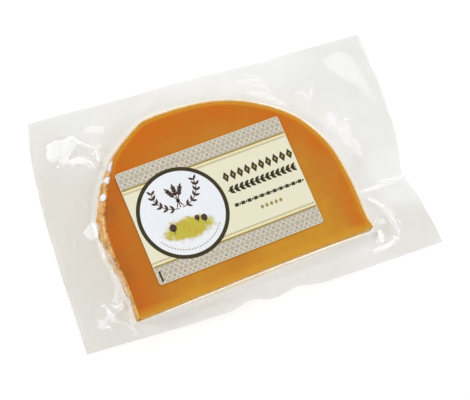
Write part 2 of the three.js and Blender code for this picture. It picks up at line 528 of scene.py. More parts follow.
@dataclass
class MarginForm:
    """The pouch's margin, where its two films lie on each other."""

    film_pair: float = 0.36
    at_slice: float = 3.0
    at_edge: float = 1.9
    lowest: float = 0.8
    web_width: float = 4.2
    web_rise: float = 1.9
    web_power: float = 2.8
    corners: tuple[Place, ...] = ((112.9, -68.9), (109, 70.4), (-103.6, 70.2), (-112.3, -68.5))
    edges: tuple[Edge, ...] = (
        Edge(0.6, 0.7, (Dent(0.34, 8.2, 20, 1.3),)),
        Edge(0.2, 0.5, (Dent(0.32, 1.4, 18, 2),)),
        Edge(4.6, 0.36),
        Edge(2.0, 0.5, (Dent(0.445, 3.2, 9, 2), Dent(0.575, 2.7, 10, 2))),
    )
    waves: tuple[Wave, ...] = (
        Wave(0.55, 61, 0.35, 0.6), Wave(0.45, 38, 1.25, 2.1), Wave(0.3, 23, 2.5, 4.0))
    main_folds: tuple[Fold, ...] = (
        Fold(((-91.5, 40.2), (-81.3, 51.3), (-70.7, 44.2), (-71.7, 33.5)), 2.6, 2.6),
        Fold(((-91.5, 40.2), (-77.3, 37.1), (-74.7, 33)), 1.9, 2.4),
        Fold(((-94.5, -45.1), (-91.5, -56.2)), 1.8, 2.4),
        Fold(((-91.5, -52.2), (-82.3, -48.1)), 1.7, 2.2),
        Fold(((-88.4, -57.2), (-83.3, -63.3)), 1.4, 2.2),
        Fold(((72.9, -23.8), (102.3, -24.8)), 1.1, 2.4),
        Fold(((75.9, -31.9), (83, -39), (87.1, -47.1), (88.1, -54.2)), 1.9, 2.5),
        Fold(((68.8, -60.8), (83, -58.8)), 1.5, 2.2),
    )

    def edge_points(self, stations: Stations) -> np.ndarray:
        """The pouch's outline.

        Args:
            stations: the places round it.

        Returns:
            One 2-D point for each station.
        """
        points = np.zeros((len(stations.share), 2))
        for side, edge in zip(Side, self.edges):
            here = stations.on(side)
            start = np.array(self.corners[side.value], float)
            end = np.array(self.corners[(side.value + 1) % 4], float)
            share = stations.share[here]
            length = float(np.linalg.norm(end - start))
            out = np.array([end[1] - start[1], start[0] - end[0]]) / length
            reach = edge.rise * bow_shape(share, edge.peak)
            for dent in edge.dents:
                away = np.abs(share - dent.share) * length / dent.reach
                reach -= dent.depth * np.exp(-away**dent.roundness)
            points[here] = mix(start, end, share) + out * reach[:, None]
        return points

    def height(self, points: np.ndarray, share: np.ndarray) -> np.ndarray:
        """The height of the margin's upper face, without its fine creases.

        Args:
            points: one 2-D point a row.
            share: each point's share of the way out to the pouch's edge.

        Returns:
            A height for each point.
        """
        height = self.at_slice + (self.at_edge - self.at_slice) * share
        loose = smoothstep(share, 0, 0.5)
        for wave in self.waves:
            along = points[:, 0] * math.cos(wave.heading) + points[:, 1] * math.sin(wave.heading)
            turns = 2 * math.pi * along / wave.length + wave.start
            height = height + loose * wave.height * np.sin(turns)
        for fold in self.main_folds:
            away = distance_to_line(points, np.array(fold.line, float)) / fold.spread
            height = height + fold.height * np.exp(-away * away)
        return np.maximum(height, self.lowest)


class Nodes:
    """Adds nodes to a material's or a group's tree and links them as they are made."""

    def __init__(self, tree: NodeTree) -> None:
        """Keeps the tree that the nodes go into."""
        self.tree = tree

    def add(self, kind: str, *, settings: dict | None = None, **inputs) -> Node:
        """One node.

        Args:
            kind: the node's type, without its ShaderNode prefix.
            settings: the node's own properties.
            inputs: what goes into its sockets, a value or another node's socket. An underscore stands
                for a space in a socket's name.

        Returns:
            The node.
        """
        node = self.tree.nodes.new(f"ShaderNode{kind}")
        for name, value in (settings or {}).items():
            setattr(node, name, value)
        for name, value in inputs.items():
            self.feed(node.inputs[name.replace("_", " ")], value)
        return node

    def feed(self, socket: NodeSocket, value: object) -> None:
        """Fills a socket.

        Args:
            socket: the socket.
            value: another node's socket, which is linked to it, or its plain value.
        """
        if isinstance(value, NodeSocket):
            self.tree.links.new(value, socket)
        elif isinstance(value, tuple) and len(value) == 3 and socket.type == "RGBA":
            socket.default_value = (*value, 1)
        else:
            socket.default_value = value

    def math(self, operation: str, *values: object, clamp: bool = False) -> NodeSocket:
        """A math node.

        Args:
            operation: what it does.
            values: its inputs, in order.
            clamp: whether its result is kept from 0 to 1.

        Returns:
            Its result.
        """
        node = self.tree.nodes.new("ShaderNodeMath")
        node.operation = operation
        node.use_clamp = clamp
        for socket, value in zip(node.inputs, values):
            self.feed(socket, value)
        return node.outputs[0]

    def times(self, first: object, second: object) -> NodeSocket:
        """The product of two values."""
        return self.math("MULTIPLY", first, second)

    def plus(self, first: object, second: object, clamp: bool = False) -> NodeSocket:
        """The sum of two values, kept from 0 to 1 if it is clamped."""
        return self.math("ADD", first, second, clamp=clamp)

    def minus(self, first: object, second: object) -> NodeSocket:
        """The difference of two values."""
        return self.math("SUBTRACT", first, second)

    def blend(self, share: object, first: object, second: object) -> NodeSocket:
        """A colour between two.

        Args:
            share: the share of the way from the first to the second.
            first: the one colour.
            second: the other.

        Returns:
            The colour.
        """
        node = self.tree.nodes.new("ShaderNodeMix")
        node.data_type = "RGBA"
        self.feed(node.inputs[0], share)
        self.feed(node.inputs[6], first)
        self.feed(node.inputs[7], second)
        return node.outputs[2]

    def span(self, value: object, low: float, high: float, start: float = 0.0,
             end: float = 1.0) -> NodeSocket:
        """A smooth step of a value.

        Args:
            value: the value.
            low: where the step begins.
            high: where it ends.
            start: the result at low.
            end: the result at high.

        Returns:
            The result.
        """
        step = self.add("MapRange", settings={"interpolation_type": "SMOOTHSTEP"}, Value=value,
                        From_Min=low, From_Max=high, To_Min=start, To_Max=end)
        return step.outputs[0]

    def mask(self, name: str) -> NodeSocket:
        """A value that the piece holds for each vertex."""
        return self.add("Attribute", settings={"attribute_name": name}).outputs["Fac"]

    def axes(self, kind: str = "Object") -> NodeOutputs:
        """The X, Y and Z of the place on the piece, in metres, or of another kind of coordinates."""
        return self.add("SeparateXYZ", Vector=self.add("TexCoord").outputs[kind]).outputs

    def bump(self, shader: Node, height: object, strength: float, distance: float) -> None:
        """Gives a shader a bumpy surface.

        Args:
            shader: the shader.
            height: the height, from 0 to 1.
            strength: how strongly it shows.
            distance: how high 1 is, in metres.
        """
        bump = self.add("Bump", Height=height, Strength=strength, Distance=distance)
        self.feed(shader.inputs["Normal"], bump.outputs[0])

    def group(self, tree: NodeTree, **inputs) -> NodeSocket:
        """A node group, placed with its own values.

        Args:
            tree: the group's tree.
            inputs: what goes into its sockets.

        Returns:
            Its first output.
        """
        node = self.tree.nodes.new("ShaderNodeGroup")
        node.node_tree = tree
        for name, value in inputs.items():
            self.feed(node.inputs[name], value)
        return node.outputs[0]


class Effects:
    """The node groups that several finishes share."""

    def __init__(self) -> None:
        """Builds each group once."""
        self.mottle = self.build_mottle()
        self.speckle = self.build_speckle()

    @staticmethod
    def new_group(name: str, inputs: dict[str, float], outputs: list[str]) -> tuple:
        """An empty group with float sockets.

        Args:
            name: the group's name.
            inputs: its inputs with their plain values.
            outputs: its outputs.

        Returns:
            The tree, its input node and its output node.
        """
        tree = bpy.data.node_groups.new(name, "ShaderNodeTree")
        for label, value in inputs.items():
            socket = tree.interface.new_socket(label, in_out="INPUT", socket_type="NodeSocketFloat")
            socket.default_value = value
        for label in outputs:
            tree.interface.new_socket(label, in_out="OUTPUT", socket_type="NodeSocketFloat")
        return tree, tree.nodes.new("NodeGroupInput"), tree.nodes.new("NodeGroupOutput")

    @staticmethod
    def moved(nodes: Nodes, given: Node) -> NodeSocket:
        """The place on the piece, moved by a group's shift.

        Args:
            nodes: the group's nodes.
            given: its input node.

        Returns:
            The moved place.
        """
        where = nodes.add("TexCoord").outputs["Object"]
        moved = nodes.add("VectorMath", settings={"operation": "ADD"})
        nodes.feed(moved.inputs[0], where)
        nodes.feed(moved.inputs[1], given.outputs["Shift"])
        return moved.outputs[0]

    def build_mottle(self) -> NodeTree:
        """Cloudy variation: a mask from 0 to 1 with lumps of a given size in millimetres.

        Returns:
            The group's tree.
        """
        tree, given, result = self.new_group(
            "cloudy_mottle", {"Size": 10.0, "Detail": 3.0, "Contrast": 1.0, "Shift": 0.0}, ["Mask"])
        nodes = Nodes(tree)
        scale = nodes.math("DIVIDE", 1000.0, given.outputs["Size"])
        noise_node = nodes.add("TexNoise", Vector=self.moved(nodes, given), Scale=scale,
                               Detail=given.outputs["Detail"])
        stretched = nodes.times(nodes.minus(noise_node.outputs[0], 0.5), given.outputs["Contrast"])
        nodes.feed(result.inputs["Mask"], nodes.plus(stretched, 0.5, clamp=True))
        return tree

    def build_speckle(self) -> NodeTree:
        """Small round specks of a given spacing in millimetres: 1 in a speck and 0 between them.

        Returns:
            The group's tree.
        """
        tree, given, result = self.new_group(
            "speckle", {"Spacing": 3.0, "Radius": 0.3, "Shift": 0.0}, ["Mask"])
        nodes = Nodes(tree)
        scale = nodes.math("DIVIDE", 1000.0, given.outputs["Spacing"])
        cells = nodes.add("TexVoronoi", Vector=self.moved(nodes, given), Scale=scale)
        radius = given.outputs["Radius"]
        speck = nodes.span(cells.outputs["Distance"], radius, nodes.times(radius, 0.4))
        nodes.feed(result.inputs["Mask"], speck)
        return tree

    def clouds(self, nodes: Nodes, size: float, detail: float, contrast: float,
               shift: float = 0.0) -> NodeSocket:
        """The cloudy mottle in a material.

        Args:
            nodes: the material's nodes.
            size: the size of its lumps, in millimetres.
            detail: how finely they are broken up.
            contrast: how strongly they differ.
            shift: moves them to another place.

        Returns:
            A mask from 0 to 1.
        """
        return nodes.group(self.mottle, Size=size, Detail=detail, Contrast=contrast, Shift=shift)

    def paper_grain(self, nodes: Nodes, shader: Node, strength: float, roughness: Place) -> None:
        """Gives a shader the fine grain of the label's paper.

        Args:
            nodes: the material's nodes.
            shader: its shader.
            strength: how strongly the grain shows.
            roughness: the least and the most of it.
        """
        fibre = self.clouds(nodes, 0.5, 5.0, 1.2, 4.0)
        nodes.feed(shader.inputs["Roughness"], nodes.span(fibre, 0.2, 0.8, *roughness))
        nodes.bump(shader, fibre, strength, 0.0001)


def new_material(name: str) -> tuple[Material, Nodes, Node]:
    """A node material with one Principled shader.

    Args:
        name: the material's name.

    Returns:
        The material, a helper for its nodes, and its shader.
    """
    material = bpy.data.materials.new(name)
    material.use_nodes = True
    return material, Nodes(material.node_tree), material.node_tree.nodes["Principled BSDF"]


@dataclass(frozen=True)
class PasteFinish:
    """Dense orange paste: deep orange by the rind at the arch, yellower towards the straight cut."""

    deep: Colour = (0.550, 0.158, 0.013)
    warm: Colour = (0.540, 0.200, 0.023)
    yellow: Colour = (0.600, 0.285, 0.027)
    dull: Colour = (0.415, 0.118, 0.020)
    hot: Colour = (0.600, 0.138, 0.009)
    rim: Colour = (0.660, 0.290, 0.022)
    golden: Colour = (0.680, 0.335, 0.028)
    cut_side: Colour = (0.760, 0.385, 0.034)

    def material(self, effects: Effects) -> Material:
        """The paste's material.

        Args:
            effects: the shared node groups.

        Returns:
            The material.
        """
        material, nodes, shader = new_material("paste")
        where = nodes.axes()
        across, up = where["X"], where["Y"]
        slope = nodes.minus(nodes.times(across, 0.3), up)
        lean = nodes.span(slope, -0.06, 0.078)
        clouds = effects.clouds(nodes, 24.0, 3.0, 2.6)
        fine = effects.clouds(nodes, 7.0, 4.0, 1.4, 3.1)
        from_rind = nodes.mask("from_rind")
        inner = nodes.span(from_rind, 5.0, 30.0)
        share = nodes.plus(nodes.times(lean, 0.54), nodes.times(clouds, 0.32))
        share = nodes.plus(share, nodes.times(inner, 0.28))
        share = nodes.plus(share, nodes.times(nodes.minus(fine, 0.5), 0.14))
        colour = nodes.blend(nodes.span(share, 0.12, 0.66), self.deep, self.warm)
        colour = nodes.blend(nodes.span(share, 0.6, 1.1), colour, self.yellow)
        by_flank = nodes.span(across, -0.052, -0.078)
        by_side = nodes.times(by_flank, nodes.span(from_rind, 10.0, 2.0, 0.35, 0.85))
        colour = nodes.blend(by_side, colour, self.dull)
        patches = effects.clouds(nodes, 19.0, 2.0, 3.4, 7.3)
        near_rind = nodes.span(from_rind, 15.0, 5.0)
        heated = nodes.times(patches, near_rind)
        colour = nodes.blend(nodes.times(heated, 0.7), colour, self.hot)
        by_rind = nodes.times(nodes.span(from_rind, 2.8, 0.6), 0.85)
        off_flank = nodes.span(across, -0.074, -0.06)
        colour = nodes.blend(nodes.times(by_rind, off_flank), colour, self.rim)
        by_cut = nodes.times(nodes.span(nodes.mask("from_cut"), 6.0, 0.5), 0.6)
        colour = nodes.blend(by_cut, colour, self.golden)
        shaded = nodes.blend(nodes.times(clouds, 0.3), self.cut_side, colour)
        colour = nodes.blend(nodes.mask("cut_side"), colour, shaded)
        nodes.feed(shader.inputs["Base Color"], colour)
        grain = effects.clouds(nodes, 1.1, 5.0, 1.4, 1.7)
        nodes.bump(shader, grain, 0.18, 0.0002)
        nodes.feed(shader.inputs["Roughness"], nodes.span(fine, 0.2, 0.8, 0.5, 0.62))
        shader.inputs["Specular IOR Level"].default_value = 0.05
        return material


@dataclass(frozen=True)
class RindFinish:
    """Dry natural rind: pale tan with brown pits, and an ochre edge where it was cut."""

    tan: Colour = srgb(218, 148, 66)
    cream: Colour = srgb(246, 210, 146)
    brown: Colour = srgb(150, 88, 30)
    ochre: Colour = srgb(222, 176, 84)
    orange: Colour = srgb(238, 168, 70)
    russet: Colour = srgb(204, 124, 46)
    olive: Colour = srgb(176, 158, 92)

    def material(self, effects: Effects) -> Material:
        """The rind's material.

        Args:
            effects: the shared node groups.

        Returns:
            The material.
        """
        material, nodes, shader = new_material("rind")
        clouds = effects.clouds(nodes, 6.5, 4.0, 3.2)
        colour = nodes.blend(clouds, self.tan, self.cream)
        mouldy = effects.clouds(nodes, 4.8, 3.0, 3.4, 31.0)
        colour = nodes.blend(nodes.times(nodes.span(mouldy, 0.55, 0.9), 0.55), colour, self.olive)
        colour = nodes.blend(nodes.mask("pit"), colour, self.brown)
        patchy = effects.clouds(nodes, 3.6, 3.0, 2.8, 5.0)
        edge = nodes.blend(patchy, self.ochre, self.orange)
        edge = nodes.blend(nodes.times(nodes.mask("flank"), 0.85), edge, self.russet)
        colour = nodes.blend(nodes.mask("upper_edge"), colour, edge)
        dark = effects.clouds(nodes, 2.6, 3.0, 4.0, 12.0)
        worn = nodes.times(nodes.span(dark, 0.55, 0.95), nodes.mask("by_edge"))
        colour = nodes.blend(nodes.times(worn, 0.8), colour, self.brown)
        specks = nodes.group(effects.speckle, Spacing=1.9, Radius=0.32, Shift=0.4)
        colour = nodes.blend(nodes.times(specks, 0.4), colour, self.brown)
        nodes.feed(shader.inputs["Base Color"], colour)
        grain = effects.clouds(nodes, 0.8, 6.0, 1.5)
        rough = nodes.minus(grain, nodes.times(specks, 0.5))
        nodes.bump(shader, rough, 0.5, 0.0003)
        nodes.feed(shader.inputs["Roughness"], nodes.span(clouds, 0.0, 1.0, 0.6, 0.85))
        shader.inputs["Specular IOR Level"].default_value = 0.15
        return material


@dataclass(frozen=True)
class FilmFinish:
    """Clear glossy film, milky along its creases, partly as stretch whitening and partly as painted
    highlight, and faintly grey where it lies double.

    Its veil runs from least to most as it gets denser, which is partly its own haze and partly painted
    shade, warmer where it is thickest. By the slice it carries painted pale and creamy light, and just in
    front of the cut a painted orange reflection of the cut's side.
    """

    clear: Colour = (0.34, 0.39, 0.31)
    # Warm tint where the veil is thickest: partly painted warm shade.
    warm: Colour = (0.42, 0.37, 0.22)
    milky: Colour = (0.98, 0.98, 0.97)
    # Pale and cream are the colours of the painted light by the slice.
    pale: Colour = (0.94, 1.0, 0.88)
    cream: Colour = (1.0, 0.85, 0.48)
    # Colour of the painted reflection of the cut's orange side, in front of the cut.
    amber: Colour = (0.70, 0.36, 0.03)
    least: float = 0.05
    most: float = 0.175
    crease_white_and_highlight: float = 0.85

    def material(self, effects: Effects) -> Material:
        """The film's material.

        Args:
            effects: the shared node groups.

        Returns:
            The material.
        """
        material, nodes, shader = new_material("clear_film")
        crease, margin, crushed = nodes.mask("crease"), nodes.mask("margin"), nodes.mask("crushed")
        glow, dense, amber = nodes.mask("glow"), nodes.mask("dense"), nodes.mask("amber")
        clouds = effects.clouds(nodes, 22.0, 3.0, 1.6)
        cloudy = nodes.times(nodes.minus(clouds, 0.5), 0.25)
        # The veil's level: partly the film's own haze, partly painted shade and painted light.
        veil_and_shade = nodes.plus(dense, cloudy, clamp=True)
        level = nodes.add("MapRange", Value=veil_and_shade, To_Min=self.least, To_Max=self.most).outputs[0]
        veil = nodes.plus(nodes.times(margin, level), 0.008)
        veil = nodes.plus(veil, nodes.times(crushed, 0.06))
        # Painted light on the film by the slice, broken up along its length.
        broken = effects.clouds(nodes, 5.0, 2.0, 1.8, 21.0)
        painted_shine = nodes.times(glow, nodes.span(broken, 0.1, 0.8, 0.8, 1.0))
        veil = nodes.plus(veil, painted_shine)
        # Painted reflection of the cut side's orange on the web in front of the cut.
        veil = nodes.plus(veil, nodes.times(amber, 0.25))
        # The creases' white is partly stretch whitening and partly painted highlight.
        veil = nodes.plus(veil, nodes.times(crease, self.crease_white_and_highlight), clamp=True)
        tint = nodes.blend(veil_and_shade, self.clear, self.warm)
        tint = nodes.blend(nodes.times(crushed, 0.45), tint, self.milky)
        tint = nodes.blend(nodes.span(glow, 0.0, 0.1), tint, self.pale)
        tint = nodes.blend(nodes.span(amber, 0.0, 0.6), tint, self.amber)
        tint = nodes.blend(nodes.span(glow, 0.25, 0.65), tint, self.cream)
        nodes.feed(shader.inputs["Base Color"], nodes.blend(nodes.span(crease, 0.0, 0.2), tint, self.milky))
        nodes.feed(shader.inputs["Alpha"], veil)
        nodes.feed(shader.inputs["Roughness"], nodes.span(crease, 0.0, 1.0, 0.14, 0.3))
        fine = effects.clouds(nodes, 3.2, 2.0, 1.2, 2.0)
        fine = nodes.times(fine, nodes.span(crease, 0.0, 0.3, 1.0, 0.4))
        nodes.bump(shader, fine, 0.13, 0.0003)
        shader.inputs["IOR"].default_value = 1.7
        shader.inputs["Specular IOR Level"].default_value = 1.0
        return material


@dataclass(frozen=True)
class PaperFinish:
    """Coated paper with a faint grain and faint clouds, white where its edge is cut."""

    face: Colour = srgb(231, 228, 201)
    cloud: Colour = srgb(222, 216, 190)
    core: Colour = srgb(250, 246, 236)

    def material(self, effects: Effects) -> Material:
        """The label paper's material.

        Args:
            effects: the shared node groups.

        Returns:
            The material.
        """
        material, nodes, shader = new_material("label_paper")
        clouds = effects.clouds(nodes, 14.0, 3.0, 1.0)
        shade = nodes.blend(nodes.times(clouds, 0.12), self.face, self.cloud)
        flat = nodes.math("GREATER_THAN", nodes.axes("Normal")["Z"], 0.5)
        nodes.feed(shader.inputs["Base Color"], nodes.blend(flat, self.core, shade))
        effects.paper_grain(nodes, shader, 0.12, (0.42, 0.52))
        return material


@dataclass(frozen=True)
class InkFinish:
    """Printing ink in two close tones, with the paper's grain under it."""

    name: str
    main: Colour
    worn: Colour
    size: float = 2.4
    contrast: float = 1.4
    metallic: float = 0.0

    def material(self, effects: Effects) -> Material:
        """The ink's material.

        Args:
            effects: the shared node groups.

        Returns:
            The material.
        """
        material, nodes, shader = new_material(self.name)
        clouds = effects.clouds(nodes, self.size, 4.0, self.contrast)
        nodes.feed(shader.inputs["Base Color"], nodes.blend(clouds, self.main, self.worn))
        effects.paper_grain(nodes, shader, 0.1, (0.38, 0.5))
        shader.inputs["Metallic"].default_value = self.metallic
        shader.inputs["Specular IOR Level"].default_value = 0.25
        return material


@dataclass(frozen=True)
class PastureFinish:
    """The label's round field: a pale sky over a soft-edged strip of meadow."""

    centre: Place
    sky: Colour = srgb(240, 241, 245)
    haze: Colour = srgb(232, 236, 240)
    grass: Colour = srgb(200, 196, 70)
    hay: Colour = srgb(206, 176, 60)
    shade: Colour = srgb(146, 142, 40)
    half_width: float = 16.5
    half_height: float = 7.0
    drop: float = 9.6

    def material(self, effects: Effects) -> Material:
        """The round field's material.

        Args:
            effects: the shared node groups.

        Returns:
            The material.
        """
        material, nodes, shader = new_material("label_pasture")
        where = nodes.axes()
        middle = (self.centre[1] - self.drop) * MM
        x = nodes.math("DIVIDE", nodes.minus(where["X"], self.centre[0] * MM), self.half_width * MM)
        y = nodes.math("DIVIDE", nodes.minus(where["Y"], middle), self.half_height * MM)
        reach = nodes.math("SQRT", nodes.plus(nodes.times(x, x), nodes.times(y, y)))
        ragged = effects.clouds(nodes, 3.0, 4.0, 1.6)
        reach = nodes.plus(reach, nodes.times(nodes.minus(ragged, 0.5), 0.5))
        meadow = nodes.span(reach, 1.1, 0.72)
        clouds = effects.clouds(nodes, 15.0, 2.0, 1.6, 8.0)
        tufts = effects.clouds(nodes, 2.2, 4.0, 2.6, 6.0)
        patches = effects.clouds(nodes, 7.0, 2.0, 2.4, 9.0)
        field_colour = nodes.blend(patches, self.grass, self.hay)
        field_colour = nodes.blend(nodes.times(tufts, 0.35), field_colour, self.shade)
        sky = nodes.blend(clouds, self.sky, self.haze)
        nodes.feed(shader.inputs["Base Color"], nodes.blend(meadow, sky, field_colour))
        shader.inputs["Roughness"].default_value = 0.42
        return material


@dataclass(frozen=True)
class Facet:
    """A patch of film stretched between folds, with a painted highlight: white where it would catch the
    light.

    It slopes down to the side that its heading points to, and its painted white is strongest there.
    """

    corners: tuple[Place, ...]
    white: float
    heading: float = 0.0
    soft: float = 0.5
    height: float = 0.3
    rounded: bool = False

    def press(self, points: np.ndarray, warp: np.ndarray) -> Pressed:
        """How far the facet lifts the film, and how white it makes it.

        Args:
            points: one 2-D point a row.
            warp: a smooth noise for each point, which bends the facet's edge.

        Returns:
            For each point the lift, and how white it is there.
        """
        line = np.array([*self.corners, self.corners[0]], float)
        if self.rounded:
            line = smooth_line([*self.corners, self.corners[0]], 6)
        bend = 0.5
        near = near_line(points, line, self.soft * 2 + 1)
        lift, white = np.zeros(len(points)), np.zeros(len(points))
        if not len(near):
            return lift, white
        here = points[near] + (bend * warp[near])[:, None]
        inside = np.zeros(len(here), bool)
        for a, b in zip(line[:-1], line[1:]):
            spans = (a[1] > here[:, 1]) != (b[1] > here[:, 1])
            rise = np.where(abs(b[1] - a[1]) < 1e-9, 1.0, b[1] - a[1])
            inside ^= spans & (here[:, 0] < a[0] + (b[0] - a[0]) * (here[:, 1] - a[1]) / rise)
        edge = distance_to_line(here, line) * np.where(inside, 1, -1)
        share = smoothstep(edge, -self.soft, self.soft)
        way = np.array([math.cos(self.heading), math.sin(self.heading)])
        along, ends = here @ way, line @ way
        towards = np.clip((along - ends.min()) / (ends.max() - ends.min()), 0, 1)
        lift[near] = self.height * share * (1 - 0.7 * towards)
        white[near] = self.white * share * (0.4 + 0.6 * towards)
        return lift, white


@dataclass(frozen=True)
class Haze:
    """A soft patch where the film's veil is denser, or thinner where its amount is below 0: partly the
    film's own haze, partly painted shade where it is denser and painted light where it is thinner.
    """

    middle: Place
    reach: Place
    amount: float

    def at(self, points: np.ndarray) -> np.ndarray:
        """What the patch adds to the veil at 2-D points."""
        away = np.linalg.norm((points - self.middle) / self.reach, axis=1)
        return self.amount * smoothstep(-away, -1.25, -0.55)


CREASES = (
    Crease(((73.5, -24.3), (82, -24.7), (91, -25.2), (101.5, -24.4)), 0.8, 0.8, 0.3, 0.2, 0.4, 0.4),
    Crease(((77.3, -42), (76.4, -45.5)), 0.9, 0.45),
    Crease(((27.5, 53.6), (36, 48.5), (42.7, 43.3), (48.5, 39.2)), 1.5, 0.8, 0.5, -0.3),
    Crease(((22, 61), (31, 60.5), (38.8, 56.3), (42.2, 49.8)), 1.2, 0.6, 0.4, 0.5),
    Crease(((30, 64), (36, 62), (40.5, 57.5)), 0.8, 0.4),
    Crease(((57.5, 45.8), (61.3, 43.4), (64.3, 39.5)), 1.0, 0.75, 0.5, 0.3),
    Crease(((67.2, 44.5), (65.0, 38.9)), 0.8, 0.65),
    Crease(((-82, 53.8), (-76.8, 48.6), (-70.6, 44.4)), 0.9, 0.9, 0.4, 0.3, 0.4),
    Crease(((-71.2, 45.3), (-71.4, 38.8), (-70.4, 31.6)), 0.9, 0.9, 0.5, -0.3, 0.4),
    Crease(((-91, 37.2), (-84.2, 42.2), (-79.2, 40.8), (-74.6, 33.4)), 1.0, 0.8, 0.6, 0.45, 0.5),
    Crease(((-90.5, 53.6), (-92.3, 47.5), (-93, 41.5)), 0.8, 0.45, 0.5, 0.5),
    Crease(((-98, 52), (-96.5, 48), (-95.5, 45)), 0.7, 0.5, 0.4),
    Crease(((-74, 58.5), (-68, 57.6), (-62.5, 56.4)), 1.0, 0.4, 0.3),
    Crease(((-92.7, -52.8), (-88.2, -51.4)), 0.9, 0.85, 0.4),
    Crease(((-91.6, -45), (-89.1, -47.6), (-86, -47.2), (-82.6, -46), (-81.2, -48.8)), 0.9, 0.8, 0.5, 0.4),
    Crease(((-87.6, -50.7), (-82.6, -48.2)), 0.9, 0.65, 0.4),
    Crease(((-102.6, -55.5), (-97.4, -57.9)), 1.0, 0.7, 0.4, -0.3),
    Crease(((-97.2, -52.2), (-95.8, -55)), 0.8, 0.6, 0.4),
    Crease(((-86.8, -4.4), (-86.2, -12.1), (-84.4, -19.5), (-83.2, -27.5)), 0.6, 0.5, 0.3, 0.2, 0.4),
    Crease(((-84.7, -26), (-83.9, -35), (-83.1, -44), (-82.5, -52)), 2.1, 0.5, 0.0, 0.0, 0.5),
    Crease(((-64.6, 36.6), (-71.1, 30.6), (-75.2, 24.6)), 0.7, 0.5),
    Crease(((-98.8, 15.4), (-90, 21.2)), 1.1, 0.1, 0.25),
    Crease(((-98.9, 0), (-101.4, -13.2)), 1.2, 0.12, 0.25),
    Crease(((-88.4, 18.6), (-85.2, 9.6)), 1.0, 0.12, 0.25),
    Crease(((-50, -66), (-38, -63.4), (-24, -63.6)), 1.6, 0.08, 0.15),
    Crease(((28, -63), (42, -60.6), (54, -61.2)), 1.6, 0.1, 0.15),
    Crease(((-20, 58.5), (-8, 58), (6, 59.4)), 1.1, 0.15, 0.2),
    # The last three are painted glints: white spots on the film over the rind's upper flank.
    Crease(((-66.2, 32), (-67.4, 28.8), (-68.3, 25.4)), 2.2, 1.8, 0.2, 0.0),
    Crease(((-69.8, 23.6), (-71.6, 19.6)), 3.4, 2.4, 0.2, 0.0),
    Crease(((-76.7, 15.4), (-78.4, 11.4)), 1.7, 1.8, 0.2, 0.0),
)

FACETS = (
    Facet(((80.8, 60.1), (90.7, 62.8), (98.8, 59.2), (101, 50.5), (103.9, 40.2), (108.2, 22.8),
           (100.5, 27.7), (95.1, 38.6), (90.4, 44), (84.1, 52.5)), 0.3, 1.9, 4.0, 0.0, True),
    Facet(((76, 20), (80.7, 20), (82, 14.3), (80, 5.6), (77, 1.2), (73.6, 5), (72.9, 12.4)),
          0.34, -1.4, 1.1, 0.3),
    Facet(((80, 7.5), (83.4, 5.9), (84.1, -4.9), (77.7, -0.4)), 0.5, -0.6, 0.9, 0.4),
    Facet(((70.8, 27.5), (74.9, 27.6), (75.7, 22.7), (74.1, 16.6), (70.9, 18.2), (69.9, 23.1)),
          0.5, 1.2, 0.9, 0.3),
    Facet(((74.6, -30.2), (80.1, -34), (86.6, -41), (88.6, -48.5), (88.6, -56), (85.9, -53.5),
           (83.6, -45.1), (79.8, -37.6)), 0.4, -1.1, 0.9, 0.4, True),
    Facet(((74.7, -50.5), (77.2, -50.6), (78.6, -52.4), (77.6, -55.8), (75.9, -58.2), (73.6, -57.6),
           (73.4, -54)), 1.9, -0.3, 0.8, 2.4, True),
    Facet(((67, -60), (73.4, -60.3), (80.6, -59.4), (86.6, -57.6), (84.2, -61), (76, -62.4),
           (67.6, -61.8)), 0.7, 0.2, 0.6, 0.3, True),
    Facet(((-97.4, 54.8), (-91, 55.8), (-87.8, 54.2), (-91.6, 45.5), (-97.5, 44.2), (-99.6, 47.8)),
          1.2, 2.6, 0.7, 0.8),
    Facet(((-88.8, 54.8), (-81.8, 56), (-78.8, 51), (-88, 43.2), (-92.3, 38.2), (-92.5, 43.8)),
          1.1, 2.4, 0.7, 0.8),
    Facet(((-90.9, 39), (-86.2, 42.3), (-81.4, 42.1), (-76.6, 38), (-74.3, 31.7), (-78.8, 34.9),
           (-83.6, 38.6)), 0.85, 2.2, 0.4, 0.5),
    Facet(((-74.9, 56.5), (-67.2, 57.5), (-61.5, 55.9), (-63.4, 52), (-68.5, 53.4)), 0.7, 1.9, 0.8, 0.4),
    Facet(((-93.2, -1.4), (-86.2, 2.7), (-84.5, 0.3), (-86.7, -6.5), (-90, -6.6)),
          1.9, 2.8, 1.0, 0.6, True),
    Facet(((-90, -44.5), (-86.6, -39.6), (-82.8, -36.1), (-84.1, -42.8), (-87.5, -45.9)),
          0.9, -0.5, 0.6, 0.5),
    Facet(((-94.9, -45), (-92.7, -47.5), (-91, -57), (-93.8, -55.2)), 0.9, 2.8, 0.6, 0.5),
    Facet(((-101.4, -51.2), (-98, -53.7), (-94.6, -58.8), (-99.7, -57.8)), 0.8, 2.8, 0.6, 0.4),
    Facet(((-86.9, -56.6), (-84.3, -59), (-81.2, -65), (-84.7, -63.1)), 0.5, -1.1, 0.6, 0.3),
)

CRUMPLES = (
    Crumple((-85, 44), (19, 15), 0.3, 9.5, 0.5),
    Crumple((-91, -52), (15, 14), 0.35, 6.5, 1.1),
    Crumple((83, -46), (15, 21), 0.3, 9.0, 0.2),
    Crumple((76, 12), (13, 30), 0.45, 8.0, 1.3),
    Crumple((38, 53), (26, 13), 0.4, 9.0, 2.2),
    Crumple((-2, -64), (70, 9), 0.25, 11.0, 0.9),
)

